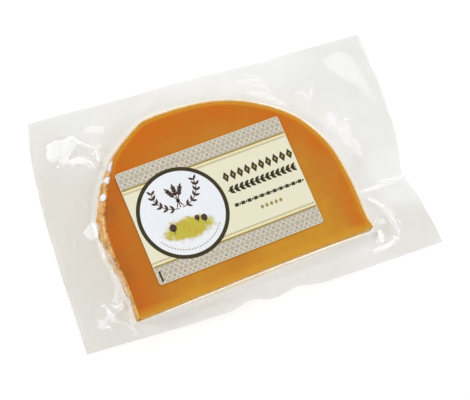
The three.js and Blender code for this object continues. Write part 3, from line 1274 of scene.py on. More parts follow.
# Patches of thicker or thinner veil: partly the film's own haze, partly painted shade where thicker and
# painted light where thinner, as by the slice.
HAZES = (
    Haze((-98, -12), (30, 75), 0.5),
    Haze((20, 66), (55, 16), -0.25),
    Haze((-15, -71), (95, 9), 0.1),
    Haze((95, -24), (24, 22), -0.2),
    Haze((96, -56), (22, 20), 0.3),
    Haze((93.5, -48), (5, 10), 0.15),
    Haze((81.6, -50), (3, 6), 0.4),
    Haze((-77, 43), (4, 7), 0.3),
    Haze((71, 8), (9, 20), -0.45),
    Haze((5, -57.8), (84, 6), -0.32),
)


@dataclass(frozen=True)
class FilmRing:
    """One ring of the film, with how far it belongs to the margin.

    Its painted light is how much pale light is painted on it by the slice, for each of the four sides, and
    its orange tint how much painted reflection of the cut side's colour it takes on.
    """

    points: np.ndarray
    margin: float
    glow: FourSides = (0, 0, 0, 0)
    amber: float = 0.0


@dataclass
class Pouch:
    """The clear films, sealed to each other round the slice: one closed skin.

    From the middle of its top it runs over the slice's rim and side, out in a web to the margin and its
    edge, and back underneath. The glows are painted pale light on each of the four sides, and the parts say
    how far the rings over and under the slice belong to the margin.
    """

    form: SliceForm
    margin: MarginForm
    creases: tuple[Crease, ...] = CREASES
    facets: tuple[Facet, ...] = FACETS
    crumples: tuple[Crumple, ...] = CRUMPLES
    hazes: tuple[Haze, ...] = HAZES
    plain_haze: float = 0.5
    ripple: float = 0.12
    patchiness: float = 0.16
    pleat: float = 0.16
    pleat_size: float = 2.6
    rim_swell: float = 0.8
    rim_rings: int = 8
    cut_sharpness: float = 0.45
    # Painted pale light on the film: on the rim's rounding and in the web by the slice's foot, brightest in
    # front of the cut.
    rim_glow: FourSides = (1.0, 1.0, 0.06, 0.0)
    rim_glow_turn: Place = (0.5, 0.9)
    side_reach: Place = (0.4, 0.8)
    web_glow: FourSides = (0.08, 0.12, 0.16, 0.8)
    glow_places: FourSides = (0.95, 0.75, 0.45, 0.24)
    glow_reaches: FourSides = (0.5, 0.5, 0.4, 0.6)
    glow_run: float = 6
    glow_fade: float = 0.8
    fade_reach: Place = (0.65, 0.95)
    # How far the painted reflection of the cut side reaches over the web.
    amber_reach: Place = (0.06, 0.24)
    cut_drop: float = 0.7
    cut_dip: float = 1.2
    dip_start: Place = (-5, 0)
    dip_end: Place = (2, 15)
    sag_shares: Place = (0.6, 0.9)
    sag_parts: Place = (0.5, 0.87)
    deepest: float = 0.25
    stations: Stations = field(default_factory=lambda: Stations.spread(190, 150, 230, 190))
    upper_rings: int = 58
    lower_rings: int = 22
    top_shares: tuple[float, ...] = (0.3, 0.6, 0.85, 0.95)
    side_shares: tuple[float, ...] = (0.8, 0.7, 0.6, 0.5, 0.4)
    web_shares: tuple[float, ...] = (0.04, 0.1, 0.18, 0.26, 0.35, 0.45, 0.56, 0.68, 0.84)
    lower_web: tuple[Place, ...] = ((0.9, -0.18), (0.6, -0.7), (0.35, -1.3), (0.15, -1.9))
    lower_rim: tuple[Place, ...] = ((0.25, 0.8), (0.6, 0.5), (1.2, 0.15), (2.0, 0.0))
    rim_part: float = 0.1
    side_part: float = 0.06
    under_part: float = 0.5
    edge_grey: float = 0.4
    grey_from: float = 0.97

    def relief(self, points: np.ndarray) -> tuple[np.ndarray, np.ndarray, np.ndarray]:
        """The fine relief of the film at 2-D points.

        Args:
            points: one 2-D point a row.

        Returns:
            For each point the height of its creases, how white it is, which is stretch whitening and
            painted highlight, and how crushed.
        """
        solid = np.column_stack([points, np.zeros(len(points))])
        warp = noise_field(solid, 14, 3.3)
        height = self.ripple * noise_field(solid, 7, 6.1)
        white, crushed = np.zeros(len(points)), np.zeros(len(points))
        for crumple in self.crumples:
            lift, share = crumple.press(points, warp)
            height += lift
            crushed = np.maximum(crushed, share)
        pressed = [crease.press(points) for crease in self.creases]
        pressed += [facet.press(points, warp) for facet in self.facets]
        # The white of the creases and facets: stretch whitening and painted highlights.
        for lift, pale in pressed:
            height += lift
            white = np.maximum(white, pale)
        patchy = 1 - self.patchiness / 2 + self.patchiness * noise_field(solid, 5.5, 8.8)
        return height, np.clip(white * patchy, 0, 1), crushed

    def level(self, inset: float, height: float, pleats: float = 0.0, swell: float = 0.0) -> np.ndarray:
        """A level ring on the slice's side, its top or its underside.

        Args:
            inset: how far in from the side it lies.
            height: its height.
            pleats: how far the film's fine upright pleats stand out.
            swell: how far the film stands off the rind.

        Returns:
            One point for each station.
        """
        flat = self.form.outline(self.stations, height, inset - swell, inset * self.cut_sharpness)
        ring = np.column_stack([flat, np.full(len(flat), height)])
        if pleats:
            out = ring - np.array([*self.form.middle, height])
            out /= np.linalg.norm(out, axis=1)[:, None]
            upright = [1, 1, 0.3]
            ring += out * (pleats * noise_field(ring * upright, self.pleat_size, 1.3))[:, None]
        return ring

    def reach_out(self, share: float | np.ndarray, from_web: bool) -> np.ndarray:
        """2-D points from the slice's foot towards the pouch's edge.

        Args:
            share: the share of the web, or of the margin past it.
            from_web: whether the share starts where the web ends.

        Returns:
            One 2-D point for each station.
        """
        foot = self.form.outline(self.stations, self.margin.at_slice, 0, 0)
        edge = self.margin.edge_points(self.stations)
        web = self.margin.web_width / np.linalg.norm(edge - foot, axis=1)
        return mix(foot, edge, web + (1 - web) * share if from_web else web * share)

    def dip(self, points: np.ndarray) -> np.ndarray:
        """How much lower the film lies at 2-D points, in front of the cut."""
        ahead = -self.form.behind_cut(points)
        return self.cut_dip * smoothstep(ahead, *self.dip_start) * (1 - smoothstep(ahead, *self.dip_end))

    def web(self, share: float, rise: float | np.ndarray, creased: bool = True) -> np.ndarray:
        """A ring where the film sweeps from the slice out to the margin.

        Args:
            share: its share of the way out.
            rise: how high it lies over the margin's start.
            creased: whether it is the upper film, with its creases, or the lower one, which sags less.

        Returns:
            One point for each station.
        """
        flat = self.reach_out(share, False)
        sag = float(np.interp(share, self.sag_shares, self.sag_parts))
        lift = self.relief(flat)[0] * share if creased else -sag * self.dip(flat)
        dip = self.dip(flat) if creased else np.zeros(len(flat))
        return np.column_stack([flat, self.margin.at_slice + rise + lift - dip])

    def web_light(self, share: float) -> FourSides:
        """The painted pale light of the four sides at a share of the web, which is above 1 past its end."""
        return tuple(glow * max(0.0, 1 - abs(share - place) / reach)
                     for glow, place, reach in zip(self.web_glow, self.glow_places, self.glow_reaches))

    @staticmethod
    def evened(values: np.ndarray, steps: int = 9) -> np.ndarray:
        """Values round the pouch, evened out over some stations on both sides."""
        return sum(np.roll(values, step, axis=-1) for step in range(-steps, steps + 1)) / (2 * steps + 1)

    def margin_ring(self, share: float, lower: bool) -> np.ndarray:
        """A ring of the margin.

        Args:
            share: its share of the way from the web's end to the pouch's edge.
            lower: whether it is of the lower film.

        Returns:
            One point for each station.
        """
        flat = self.reach_out(share, True)
        height = self.margin.height(flat, np.full(len(flat), share)) - self.dip(flat)
        height = np.maximum(height, self.margin.lowest)
        if lower:
            return np.column_stack([flat, height - self.margin.film_pair])
        lift = self.relief(flat)[0]
        return np.column_stack([flat, np.maximum(height + lift, height - self.deepest)])

    def over_slice(self) -> list[FilmRing]:
        """The film on the slice.

        Returns:
            The rings from the middle of its top to the foot of its side.
        """
        form = self.form
        rounding = form.rim_rounding
        rim = self.level(rounding, form.thickness)
        middle = np.array([*form.middle, form.thickness])
        rings = [FilmRing(mix(middle, rim, share), 0) for share in self.top_shares]
        for turn in np.linspace(0, math.pi / 2, self.rim_rings):
            rise = math.sin(turn)
            ring = self.level(rounding * (1 - rise), form.thickness - rounding * (1 - math.cos(turn)),
                              self.pleat * rise, self.rim_swell * rise)
            # How far up the rim's rounding the painted light reaches.
            painted_glow_share = float(smoothstep(np.array(rise), *self.rim_glow_turn))
            rings.append(FilmRing(ring, self.rim_part * rise, tuple(g * painted_glow_share for g in self.rim_glow)))
        for share in self.side_shares:
            near_rim = float(smoothstep(np.array(share), *self.side_reach))
            ring = self.level(0, form.thickness * share, self.pleat, self.rim_swell * near_rim)
            glow = tuple(g * 0.5 * near_rim ** 3 for g in self.rim_glow)
            rings.append(FilmRing(ring, self.side_part, glow))
        return rings

    def over_margin(self) -> list[FilmRing]:
        """The upper film off the slice.

        Returns:
            The rings from the slice's foot to the pouch's edge.
        """
        margin, rings = self.margin, []
        front = self.evened(self.stations.on(Side.FRONT).astype(float))
        for share in self.web_shares:
            rise = margin.web_rise * (1 - share) ** margin.web_power * (1 - self.cut_drop * front)
            # The painted reflection of the cut side, strongest at the web's foot.
            amber = float(1 - smoothstep(np.array(share), *self.amber_reach))
            part = self.rim_part + (1 - self.rim_part) * share
            rings.append(FilmRing(self.web(share, rise), part, self.web_light(share), amber))
        for share in np.linspace(0, 1, self.upper_rings):
            part = 1 + self.edge_grey * (share > self.grey_from)
            rings.append(FilmRing(self.margin_ring(share, False), part,
                                  self.web_light(1 + self.glow_run * share)))
        return rings

    def underneath(self) -> list[FilmRing]:
        """The lower film.

        Returns:
            The rings from the pouch's edge to the middle of the underside.
        """
        shares = np.linspace(1, 0, self.lower_rings)
        rings = [FilmRing(self.margin_ring(share, True), 1) for share in shares]
        for share, rise in self.lower_web:
            rings.append(FilmRing(self.web(share, rise - self.margin.film_pair * share, False), 1))
        for inset, height in self.lower_rim:
            rings.append(FilmRing(self.level(inset, height), self.under_part))
        bottom = self.level(self.lower_rim[-1][0], 0)
        ground = np.array([*self.form.middle, 0])
        return rings + [FilmRing(mix(ground, bottom, share), 0) for share in self.top_shares[::-1]]

    def build(self, material: Material) -> Object:
        """The film, in place of the pouch's solid.

        Args:
            material: its finish.

        Returns:
            The piece.
        """
        upper, lower = self.over_slice() + self.over_margin(), self.underneath()
        rings = upper + lower
        size = (len(rings), len(self.stations.share))
        points, faces = closed_skin((*self.form.middle, self.form.thickness),
                                    [ring.points for ring in rings], (*self.form.middle, 0))
        piece = make_object("film", points, faces)
        _, white, crushed = self.relief(points[:, :2])
        margin = on_vertices(per_ring([ring.margin for ring in rings]), *size)
        above = on_vertices(per_ring([1] * len(upper) + [0] * len(lower)), *size)
        # The painted light fades along the back towards the left side, and is evened round the pouch.
        turning = self.stations.on(Side.BACK) * smoothstep(self.stations.share, *self.fade_reach)
        glow = np.array([ring.glow for ring in rings])[:, self.stations.side]
        glow = self.evened(glow * (1 - self.glow_fade * turning))
        # The painted reflection of the cut side, on the front only.
        amber = per_ring([ring.amber for ring in rings]) * self.stations.on(Side.FRONT)
        # Where the veil is thicker or thinner: partly the film's own haze, partly painted shade and painted
        # light.
        dense = self.plain_haze + sum(haze.at(points[:, :2]) for haze in self.hazes)
        # The crease mask carries the white of the creases and facets: stretch whitening and painted
        # highlights.
        add_masks(piece, crease=white * smoothstep(margin, 0.0, 0.06) * above,
                  crushed=crushed * smoothstep(margin, 0.3, 1.0) * above, glow=on_vertices(glow, *size),
                  amber=on_vertices(amber, *size), dense=np.clip(dense, 0, 1), margin=margin)
        piece.data.materials.append(material)
        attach(piece, BODY)
        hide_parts("pouch")
        return piece


@dataclass
class CheeseSlice:
    """The half slice: its paste, and the band of rind round its arch.

    The paste's foot is a row of heights with their distances from the cut, and the rind's a row of points
    of its profile. Low down the rind's ends keep away from the cut, by the end insets at the end heights.
    The depth of a small pit is a share of a large one's.
    """

    form: SliceForm
    gap: float = 0.2
    rind_thickness: float = 1.15
    seam: float = 0.02
    stations: Stations = field(default_factory=lambda: Stations.spread(130, 130, 160, 160))
    cut_corner: float = 0.55
    corner_rings: int = 5
    top_shares: tuple[float, ...] = (0.12, 0.25, 0.38, 0.5, 0.6, 0.7, 0.78, 0.85, 0.9, 0.94, 0.97, 0.985)
    base_shares: tuple[float, ...] = (0.9, 0.7, 0.45, 0.2)
    paste_foot: tuple[Place, ...] = ((1.0, 0.5), (0.5, 1.0), (0.2, 2.2))
    columns: int = 620
    rind_foot: tuple[Point, ...] = ((1.9, 0.2, 0.0), (1.2, 0.35, 0.3), (0.75, 0.8, 0.7))
    end_heights: FourSides = (0.2, 0.5, 1.0, 1.5)
    end_insets: FourSides = (1.4, 0.9, 0.4, 0.0)
    pit_size: float = 3.1
    pit_depth: float = 0.55
    small_pit_size: float = 1.3
    small_pit: float = 0.4
    roughness: float = 0.09

    def paste_ring(self, cut_inset: float, height: float, share: float = 1) -> np.ndarray:
        """A ring of the paste.

        Args:
            cut_inset: how far behind the cut it lies.
            height: its height.
            share: its share of the way from the slice's middle to its side.

        Returns:
            One point for each station.
        """
        inset = self.rind_thickness + self.gap + self.seam
        flat = self.form.outline(self.stations, height, inset, cut_inset)
        ring = np.column_stack([flat, np.full(len(flat), height)])
        return mix(np.array([*self.form.middle, height]), ring, share)

    def build_paste(self, material: Material) -> Object:
        """The paste, with its cut faces and the wall that meets the rind.

        Args:
            material: its finish.

        Returns:
            The piece.
        """
        form, corner = self.form, self.cut_corner
        top = form.thickness - self.gap
        rings = [self.paste_ring(1.0, top, share) for share in self.top_shares]
        sides = [0.0] * len(rings)
        for turn in np.linspace(0, math.pi / 2, self.corner_rings):
            behind = self.gap + corner * (1 - math.sin(turn))
            rings.append(self.paste_ring(behind, top - corner * (1 - math.cos(turn))))
            sides.append(math.sin(turn))
        wall = np.linspace(top - 1.5, 2.0, 10)
        rings += [self.paste_ring(self.gap, height) for height in wall]
        rings += [self.paste_ring(behind, height) for height, behind in self.paste_foot]
        base, behind = self.paste_foot[-1]
        rings += [self.paste_ring(behind, base, share) for share in self.base_shares]
        sides += [1.0] * len(wall) + [0.8] * len(self.paste_foot) + [0.0] * len(self.base_shares)
        size = (len(rings), len(self.stations.share))
        points, faces = closed_skin((*form.middle, top), rings, (*form.middle, base))
        cut_side = on_vertices(per_ring(sides) * self.stations.on(Side.FRONT), *size)
        from_rind = distance_to_line(points[:, :2], form.curve) - self.rind_thickness
        soft = noise_field(points * [1, 1, 0.4], 26, 2.0) * 0.05 + noise_field(points, 6, 4.0) * 0.02
        upper = smoothstep(points[:, 2], top - 0.4, top - 0.1)
        points[:, 2] -= upper * (0.03 + 0.4 * soft)
        knife_marks = 0.05 * np.sin(points[:, 2] * 5.2 + 0.6 * np.sin(points[:, 0] * 0.08))
        points[:, 1] += cut_side * (0.05 + knife_marks)
        piece = make_object("paste", points, faces)
        from_cut = form.behind_cut(points[:, :2])
        add_masks(piece, from_rind=np.maximum(from_rind, 0), from_cut=np.maximum(from_cut, 0),
                  cut_side=cut_side)
        piece.data.materials.append(material)
        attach(piece, BODY)
        return piece

    def rind_profile(self, top: float) -> list[Point]:
        """The rind's cross-section, from its foot up its side and back down its inner face.

        Args:
            top: the height of its upper edge.

        Returns:
            For each point its distance in from the side, its height, and how open the surface is there.
        """
        rounding = self.form.rim_rounding - self.gap
        inner = self.gap + self.rind_thickness
        profile = [(inner, self.end_heights[0], 0.0), *self.rind_foot]
        profile += [(self.gap, height, 1.0) for height in np.linspace(1.5, top - rounding, 24)]
        for turn in np.linspace(0, math.pi / 2, 7)[1:]:
            profile.append((self.gap + rounding * (1 - math.cos(turn)),
                            top - rounding * (1 - math.sin(turn)), 1 - math.sin(turn)))
        profile += [(inner - 0.15, top, 0.0), (inner, top - 0.02, 0.0)]
        return profile + [(inner, height, 0.0) for height in (top - 3, 7.0, 3.0)]

    def pitted(self, row: np.ndarray) -> np.ndarray:
        """How deep the rind's pits are.

        Args:
            row: one point a row.

        Returns:
            A depth from 0 to 1 for each point.
        """
        pit = smoothstep(-cell_field(row, self.pit_size, 3.7), -0.34, -0.14)
        pit *= smoothstep(noise_field(row, 9, 7.7), -0.25, 0.35)
        small = smoothstep(-cell_field(row, self.small_pit_size, 9.1), -0.3, -0.12) * self.small_pit
        return np.maximum(pit, small)

    def build_rind(self, material: Material) -> Object:
        """The rind: a lumpy, pitted band bent round the arch, closed at its cut ends.

        Args:
            material: its finish.

        Returns:
            The piece.
        """
        form, corner = self.form, self.cut_corner
        shares = np.linspace(0, 1, self.columns)
        _, out = form.arch_at(shares)
        flank = smoothstep(shares, 0.62, 0.7)
        top = form.thickness - self.gap
        profile = self.rind_profile(top)
        rows, pits, edges = [], [], []
        for inset, height, is_open in profile:
            foot = float(np.interp(height, self.end_heights, self.end_insets))
            first, last = form.arch_span(height, inset, foot) if foot else (0.0, 1.0)
            flat = form.rind_points(first + (last - first) * shares, height, inset)
            row = np.column_stack([flat, np.full(len(flat), height)])
            hollow = is_open * (0.35 + 0.65 * flank) * self.pitted(row)
            rough = is_open * self.roughness * (noise_field(row, 0.9, 5.5) - 0.6)
            row[:, :2] += out * (rough - hollow * self.pit_depth)[:, None]
            row[:, 1] += np.maximum(self.gap - form.behind_cut(row[:, :2]), 0)
            bevel = np.clip(corner + self.gap - form.behind_cut(row[:, :2]), 0, corner)
            row[:, 2] = np.minimum(row[:, 2], top - corner + np.sqrt(corner**2 - bevel**2))
            rows.append(row)
            pits.append(hollow)
            edges.append(smoothstep(np.full(len(row), height), top - 0.75, top - 0.25))
        deep = len(profile)
        points = np.array(rows).transpose(1, 0, 2).reshape(-1, 3)
        faces = []
        for a in range((self.columns - 1) * deep):
            b = a + 1 if (a + 1) % deep else a + 1 - deep
            faces.append((a, a + deep, b + deep, b))
        faces.append(tuple(range(deep)))
        faces.append(tuple(range(self.columns * deep - 1, (self.columns - 1) * deep - 1, -1)))
        piece = make_object("rind", points, faces)
        by_edge = smoothstep(points[:, 2], top - 4.2, top - 0.9) * np.repeat(0.15 + 0.85 * flank, deep)
        flank *= 1 - smoothstep(shares, 0.88, 0.95)
        add_masks(piece, pit=np.array(pits).T.ravel(), upper_edge=np.array(edges).T.ravel(),
                  by_edge=by_edge, flank=np.repeat(flank, deep))
        piece.data.materials.append(material)
        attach(piece, BODY)
        return piece


Outline = list[Place]


@dataclass
class Label:
    """The paper label: its sheet, and its print as thin plates of ink in plain ornaments.

    A layer of ink is one step of ink high over the one below it, and its plates fill a share of that step.
    Places on the label are counted from its middle.
    """

    width: float = 105
    height: float = 69.4
    middle: Place = (-12.7, -7.0)
    turn: float = math.radians(4.05)
    face: float = 14.15
    ink: float = 0.012
    ink_share: float = 0.6
    band_height: float = 10.2
    lozenge_length: float = 6.5
    lozenge_half_height: float = 2.4
    ring_middle: Place = (-23.66, 0.03)
    ring_radius: float = 26.2
    ring_width: float = 2.3
    ring_steps: int = 96
    margin: float = 0.35
    frieze_start: Place = (8.3, 10.8)
    frieze_step: float = 4.6

    def placed(self, place: Place) -> Place:
        """A place on the label in the frame's axes."""
        c, s = math.cos(self.turn), math.sin(self.turn)
        return (self.middle[0] + c * place[0] - s * place[1], self.middle[1] + s * place[0] + c * place[1])

    def ink_heights(self, layer: int) -> Place:
        """The lower and the upper height of a layer's plates."""
        return self.face + self.ink * (layer - self.ink_share), self.face + self.ink * layer

    def plates(self, layer: int, outlines: list[Outline]) -> Shape:
        """Thin plates of ink on the label.

        Args:
            layer: how many layers of ink lie under them, plus one.
            outlines: each plate's outline on the label, anticlockwise.

        Returns:
            Their points and faces.
        """
        low, high = self.ink_heights(layer)
        points, faces = [], []
        for outline in outlines:
            first, count = len(points), len(outline)
            flat = [self.placed(place) for place in outline]
            points += [(x, y, low) for x, y in flat] + [(x, y, high) for x, y in flat]
            faces.append(tuple(first + count + i for i in range(count)))
            faces.append(tuple(first + i for i in reversed(range(count))))
            for i in range(count):
                after = (i + 1) % count
                faces.append((first + i, first + after, first + count + after, first + count + i))
        return np.array(points), faces

    def hoop(self, layer: int) -> Shape:
        """The ring of ink, as one closed band.

        Args:
            layer: how many layers of ink lie under it, plus one.

        Returns:
            Its points and faces.
        """
        low, high = self.ink_heights(layer)
        inner, outer = self.ring_radius - self.ring_width / 2, self.ring_radius + self.ring_width / 2
        loops = [(outer, low), (outer, high), (inner, high), (inner, low)]
        around = self.ring_steps
        points = [(*self.placed(place), height) for reach, height in loops
                  for place in self.oval(self.ring_middle, reach, reach, around)]
        faces = []
        for row in range(len(loops)):
            under, over = row * around, (row + 1) % len(loops) * around
            for i in range(around):
                after = (i + 1) % around
                faces.append((under + i, under + after, over + after, over + i))
        return np.array(points), faces

    @staticmethod
    def bar(left: float, right: float, low: float, high: float) -> Outline:
        """An upright rectangle."""
        return [(left, low), (right, low), (right, high), (left, high)]

    @staticmethod
    def oval(centre: Place, across: float, up: float, steps: int = 24) -> Outline:
        """An ellipse."""
        turns = [2 * math.pi * i / steps for i in range(steps)]
        return [(centre[0] + across * math.cos(t), centre[1] + up * math.sin(t)) for t in turns]

    @staticmethod
    def lozenge(centre: Place, across: float, up: float) -> Outline:
        """A lozenge that stands on its point."""
        x, y = centre
        return [(x - across, y), (x, y - up), (x + across, y), (x, y + up)]

    @staticmethod
    def leaf(foot: Place, heading: float, length: float, width: float) -> Outline:
        """A pointed leaf.

        Args:
            foot: where it grows from. It starts a little further on, so that no two leaves share a point.
            heading: the way it points.
            length: its length.
            width: half its width.

        Returns:
            Its outline.
        """
        c, s = math.cos(heading), math.sin(heading)
        off_foot = 0.02
        shape = []
        for side, shares in ((-1, np.linspace(0, 1, 9)[:-1]), (1, np.linspace(1, 0, 9)[:-1])):
            shape += [(off_foot + u * length, side * width * math.sin(math.pi * u ** 0.8)) for u in shares]
        return [(foot[0] + c * x - s * y, foot[1] + s * x + c * y) for x, y in shape]

    @staticmethod
    def ribbon(line: list[Place], width: float) -> Outline:
        """A band of even width.

        Args:
            line: the places along its middle.
            width: its width.

        Returns:
            Its outline.
        """
        points = np.array(line)
        along = np.gradient(points, axis=0)
        along /= np.linalg.norm(along, axis=1)[:, None]
        out = np.stack([along[:, 1], -along[:, 0]], 1) * width / 2
        return [tuple(p) for p in (points + out)] + [tuple(p) for p in (points - out)[::-1]]

    def zigzag(self, middle: float, swing: float, period: float, width: float, start: float) -> Outline:
        """A zigzag line along the label.

        Args:
            middle: the height of its middle on the label.
            swing: how far it swings up and down.
            period: the length of one zig and zag.
            width: how thick the line is, measured up the label.
            start: a shift along the label, as a share of the period.

        Returns:
            The line's outline.
        """
        half = self.width / 2 - self.margin
        steps = int(round(4 * half / period))
        line = [(-half + i * period / 2, middle + swing * (1 if (i + int(2 * start)) % 2 else -1))
                for i in range(steps + 1)]
        line = [(min(x, half), y) for x, y in line]
        lower = [(x, y - width / 2) for x, y in line]
        upper = [(x, y + width / 2) for x, y in line[::-1]]
        return lower + upper

    def long_bars(self, low: float, high: float) -> list[Outline]:
        """A bar along each band, between two distances from it towards the label's middle."""
        half, at = self.width / 2 - self.margin, self.height / 2 - self.band_height
        return [self.bar(-half, half, at - high, at - low), self.bar(-half, half, low - at, high - at)]

    def bands(self) -> list[Outline]:
        """The two ornament bands along the label's long sides."""
        return self.long_bars(self.margin - self.band_height, 0)

    def band_rows(self) -> list[float]:
        """The middles of the two rows of lozenges in each band, as heights on the label."""
        middle, row = self.height / 2 - self.band_height / 2, self.lozenge_half_height
        return [sign * middle + side * row for sign in (1, -1) for side in (-1, 1)]

    def lattice(self, start: float) -> list[Outline]:
        """Zigzag lines of the bands. Two sets, half a period apart, cross and make lozenges."""
        swing, length = self.lozenge_half_height * 0.79, self.lozenge_length
        return [self.zigzag(row, swing, length, 0.95, start) for row in self.band_rows()]

    def lattice_hearts(self) -> list[Outline]:
        """A small lozenge in the middle of each lozenge of the bands.

        Returns:
            The plates' outlines.
        """
        count = int((self.width - 2 * self.margin) / self.lozenge_length)
        left = self.margin - self.width / 2
        return [self.lozenge((left + (i + 0.5) * self.lozenge_length, row), 1.05, 0.8)
                for row in self.band_rows() for i in range(count)]

    def gold_lines(self) -> list[Outline]:
        """The gold line under each band, and the fine toothed line beside it."""
        at = self.height / 2 - self.band_height - 2.8
        return self.long_bars(0.05, 1.0) + [self.zigzag(y, 0.42, 1.6, 0.44, 0.0) for y in (at, -at)]

    def pale_lines(self) -> list[Outline]:
        """The pale yellow strip between the gold line and the toothed one."""
        return self.long_bars(1.0, 2.2)

    def sprigs(self) -> list[Outline]:
        """Two leafy sprigs that bend up from the field's middle, and three trees on the meadow.

        Returns:
            The plates' outlines.
        """
        x, y = self.ring_middle
        across, up = 13.5, 11.5
        shapes = []
        for sign in (1, -1):
            stem = [(x + sign * across * math.sin(t), y + 14.5 - up * math.cos(t))
                    for t in np.linspace(0.08, 1.75, 14)]
            shapes.append(self.ribbon(stem[::sign], 0.5))
            for t in np.linspace(0.3, 1.7, 6):
                foot = (x + sign * across * math.sin(t), y + 14.5 - up * math.cos(t))
                along = math.atan2(up * math.sin(t), sign * across * math.cos(t))
                shapes += [self.leaf(foot, along + side, 3.6, 0.75) for side in (0.75, -0.75)]
        for right, down, size in ((-9, 8.2, 2.1), (6.5, 6.8, 1.5), (10.5, 8.4, 1.9)):
            left, foot = x + right, y - down
            shapes.append(self.bar(left - 0.2, left + 0.2, foot - size, foot + 0.4))
            shapes.append(self.oval((left, foot + size * 0.8), size, size * 1.1))
        return shapes

    def sheaf(self) -> list[Outline]:
        """A tied sheaf of wheat between the sprigs.

        Returns:
            The plates' outlines.
        """
        tie = np.array([self.ring_middle[0], self.ring_middle[1] + 7.6])
        shapes = [self.oval(tuple(tie), 1.3, 0.8, 16)]
        for lean in (-0.5, 0, 0.5):
            heading = math.pi / 2 - lean
            way = np.array([math.cos(heading), math.sin(heading)])
            shapes.append(self.ribbon([tie - way * 4.2, tie + way * 8.2], 0.6))
            for reach in (3.4, 5.1, 6.8):
                for side in (0.55, -0.55):
                    shapes.append(self.leaf(tuple(tie + way * reach), heading + side, 2.6, 0.62))
            shapes.append(self.leaf(tuple(tie + way * 8.0), heading, 2.8, 0.65))
        return shapes

    def frieze_row(self, across: float, up: float) -> list[Outline]:
        """Ten lozenges in a row in the label's right half."""
        x, y = self.frieze_start
        return [self.lozenge((x + i * self.frieze_step, y), across, up) for i in range(10)]

    def frieze(self) -> list[Outline]:
        """Two rows of ornament in the label's right half, a row of dashes, and a bar on the lower band.

        Returns:
            The plates' outlines.
        """
        shapes = self.frieze_row(2.0, 3.3)
        for i in range(13):
            shapes += [self.leaf((7.2 + i * 3.35, 2.4), side, 3.9, 0.95) for side in (0.68, -0.68)]
        shapes.append(self.bar(6.2, 50.4, 2.1, 2.7))
        for i in range(11):
            x = 6.6 + i * 4.1
            shapes.append(self.bar(x, x + 2.4, -7.9, -5.9))
            shapes.append(self.oval((x + 3.3, -6.9), 0.6, 0.6, 12))
        shapes.append(self.bar(-50.6, -49.5, -33.2, -26.9))
        return shapes

    def gold_beads(self) -> list[Outline]:
        """A short row of gold lozenges, and the small ones set in the dark row."""
        beads = [self.lozenge((21.6 + i * 3.0, -13.2), 1.1, 1.4) for i in range(5)]
        return beads + self.frieze_row(0.7, 1.15)

    def dotted_arc(self) -> list[Outline]:
        """A curved row of grey dots along the foot of the round field.

        Returns:
            The plates' outlines.
        """
        x, y = self.ring_middle
        turns = [math.radians(-147 + i * 4.4) for i in range(26)]
        return [self.oval((x + 22 * math.cos(t), y + 22 * math.sin(t)), 0.5, 0.5, 10) for t in turns]

    def build(self, effects: Effects) -> list[Object]:
        """Gives the label's sheet its finish, and prints on it.

        Args:
            effects: the shared node groups.

        Returns:
            The pieces of print.
        """
        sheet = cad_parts["label"].data
        sheet.materials.clear()
        sheet.materials.append(PaperFinish().material(effects))
        silver = InkFinish("band_ink", srgb(190, 178, 160), srgb(180, 172, 158), 5.0, 2.4)
        pale = InkFinish("lattice_ink", srgb(222, 212, 192), srgb(202, 202, 188), 4.0, 2.6)
        mauve = InkFinish("heart_ink", srgb(168, 154, 146), srgb(176, 168, 156), 4.0, 2.4)
        gold = InkFinish("gold_ink", srgb(172, 152, 88), srgb(150, 130, 66), 3.0, 2.0, 0.15)
        straw = InkFinish("straw_ink", srgb(238, 226, 182), srgb(232, 220, 176))
        dark = InkFinish("dark_ink", srgb(56, 48, 26), srgb(66, 58, 36))
        brown = InkFinish("brown_ink", srgb(72, 52, 44), srgb(84, 64, 54))
        grey = InkFinish("grey_ink", srgb(170, 168, 150), srgb(180, 176, 160))
        disc = [self.oval(self.ring_middle, self.ring_radius, self.ring_radius, self.ring_steps)]
        pasture = PastureFinish(self.placed(self.ring_middle))
        layers = (
            ("print_bands", self.plates(1, self.bands()), silver),
            ("print_lattice", self.plates(2, self.lattice(0.0)), pale),
            ("print_crossing", self.plates(3, self.lattice(0.5)), pale),
            ("print_hearts", self.plates(2, self.lattice_hearts()), mauve),
            ("print_straw_lines", self.plates(1, self.pale_lines()), straw),
            ("print_gold_lines", self.plates(2, self.gold_lines()), gold),
            ("print_field", self.plates(4, disc), pasture),
            ("print_ring", self.hoop(6), dark),
            ("print_sprigs", self.plates(6, self.sprigs()), brown),
            ("print_sheaf", self.plates(6, self.sheaf()), brown),
            ("print_dots", self.plates(6, self.dotted_arc()), grey),
            ("print_frieze", self.plates(3, self.frieze()), dark),
            ("print_beads", self.plates(4, self.gold_beads()), gold),
        )
        pieces = []
        for name, (points, faces), ink in layers:
            piece = make_object(name, points, faces, smooth=False)
            piece.data.materials.append(ink.material(effects))
            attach(piece, BODY)
            pieces.append(piece)
        return pieces


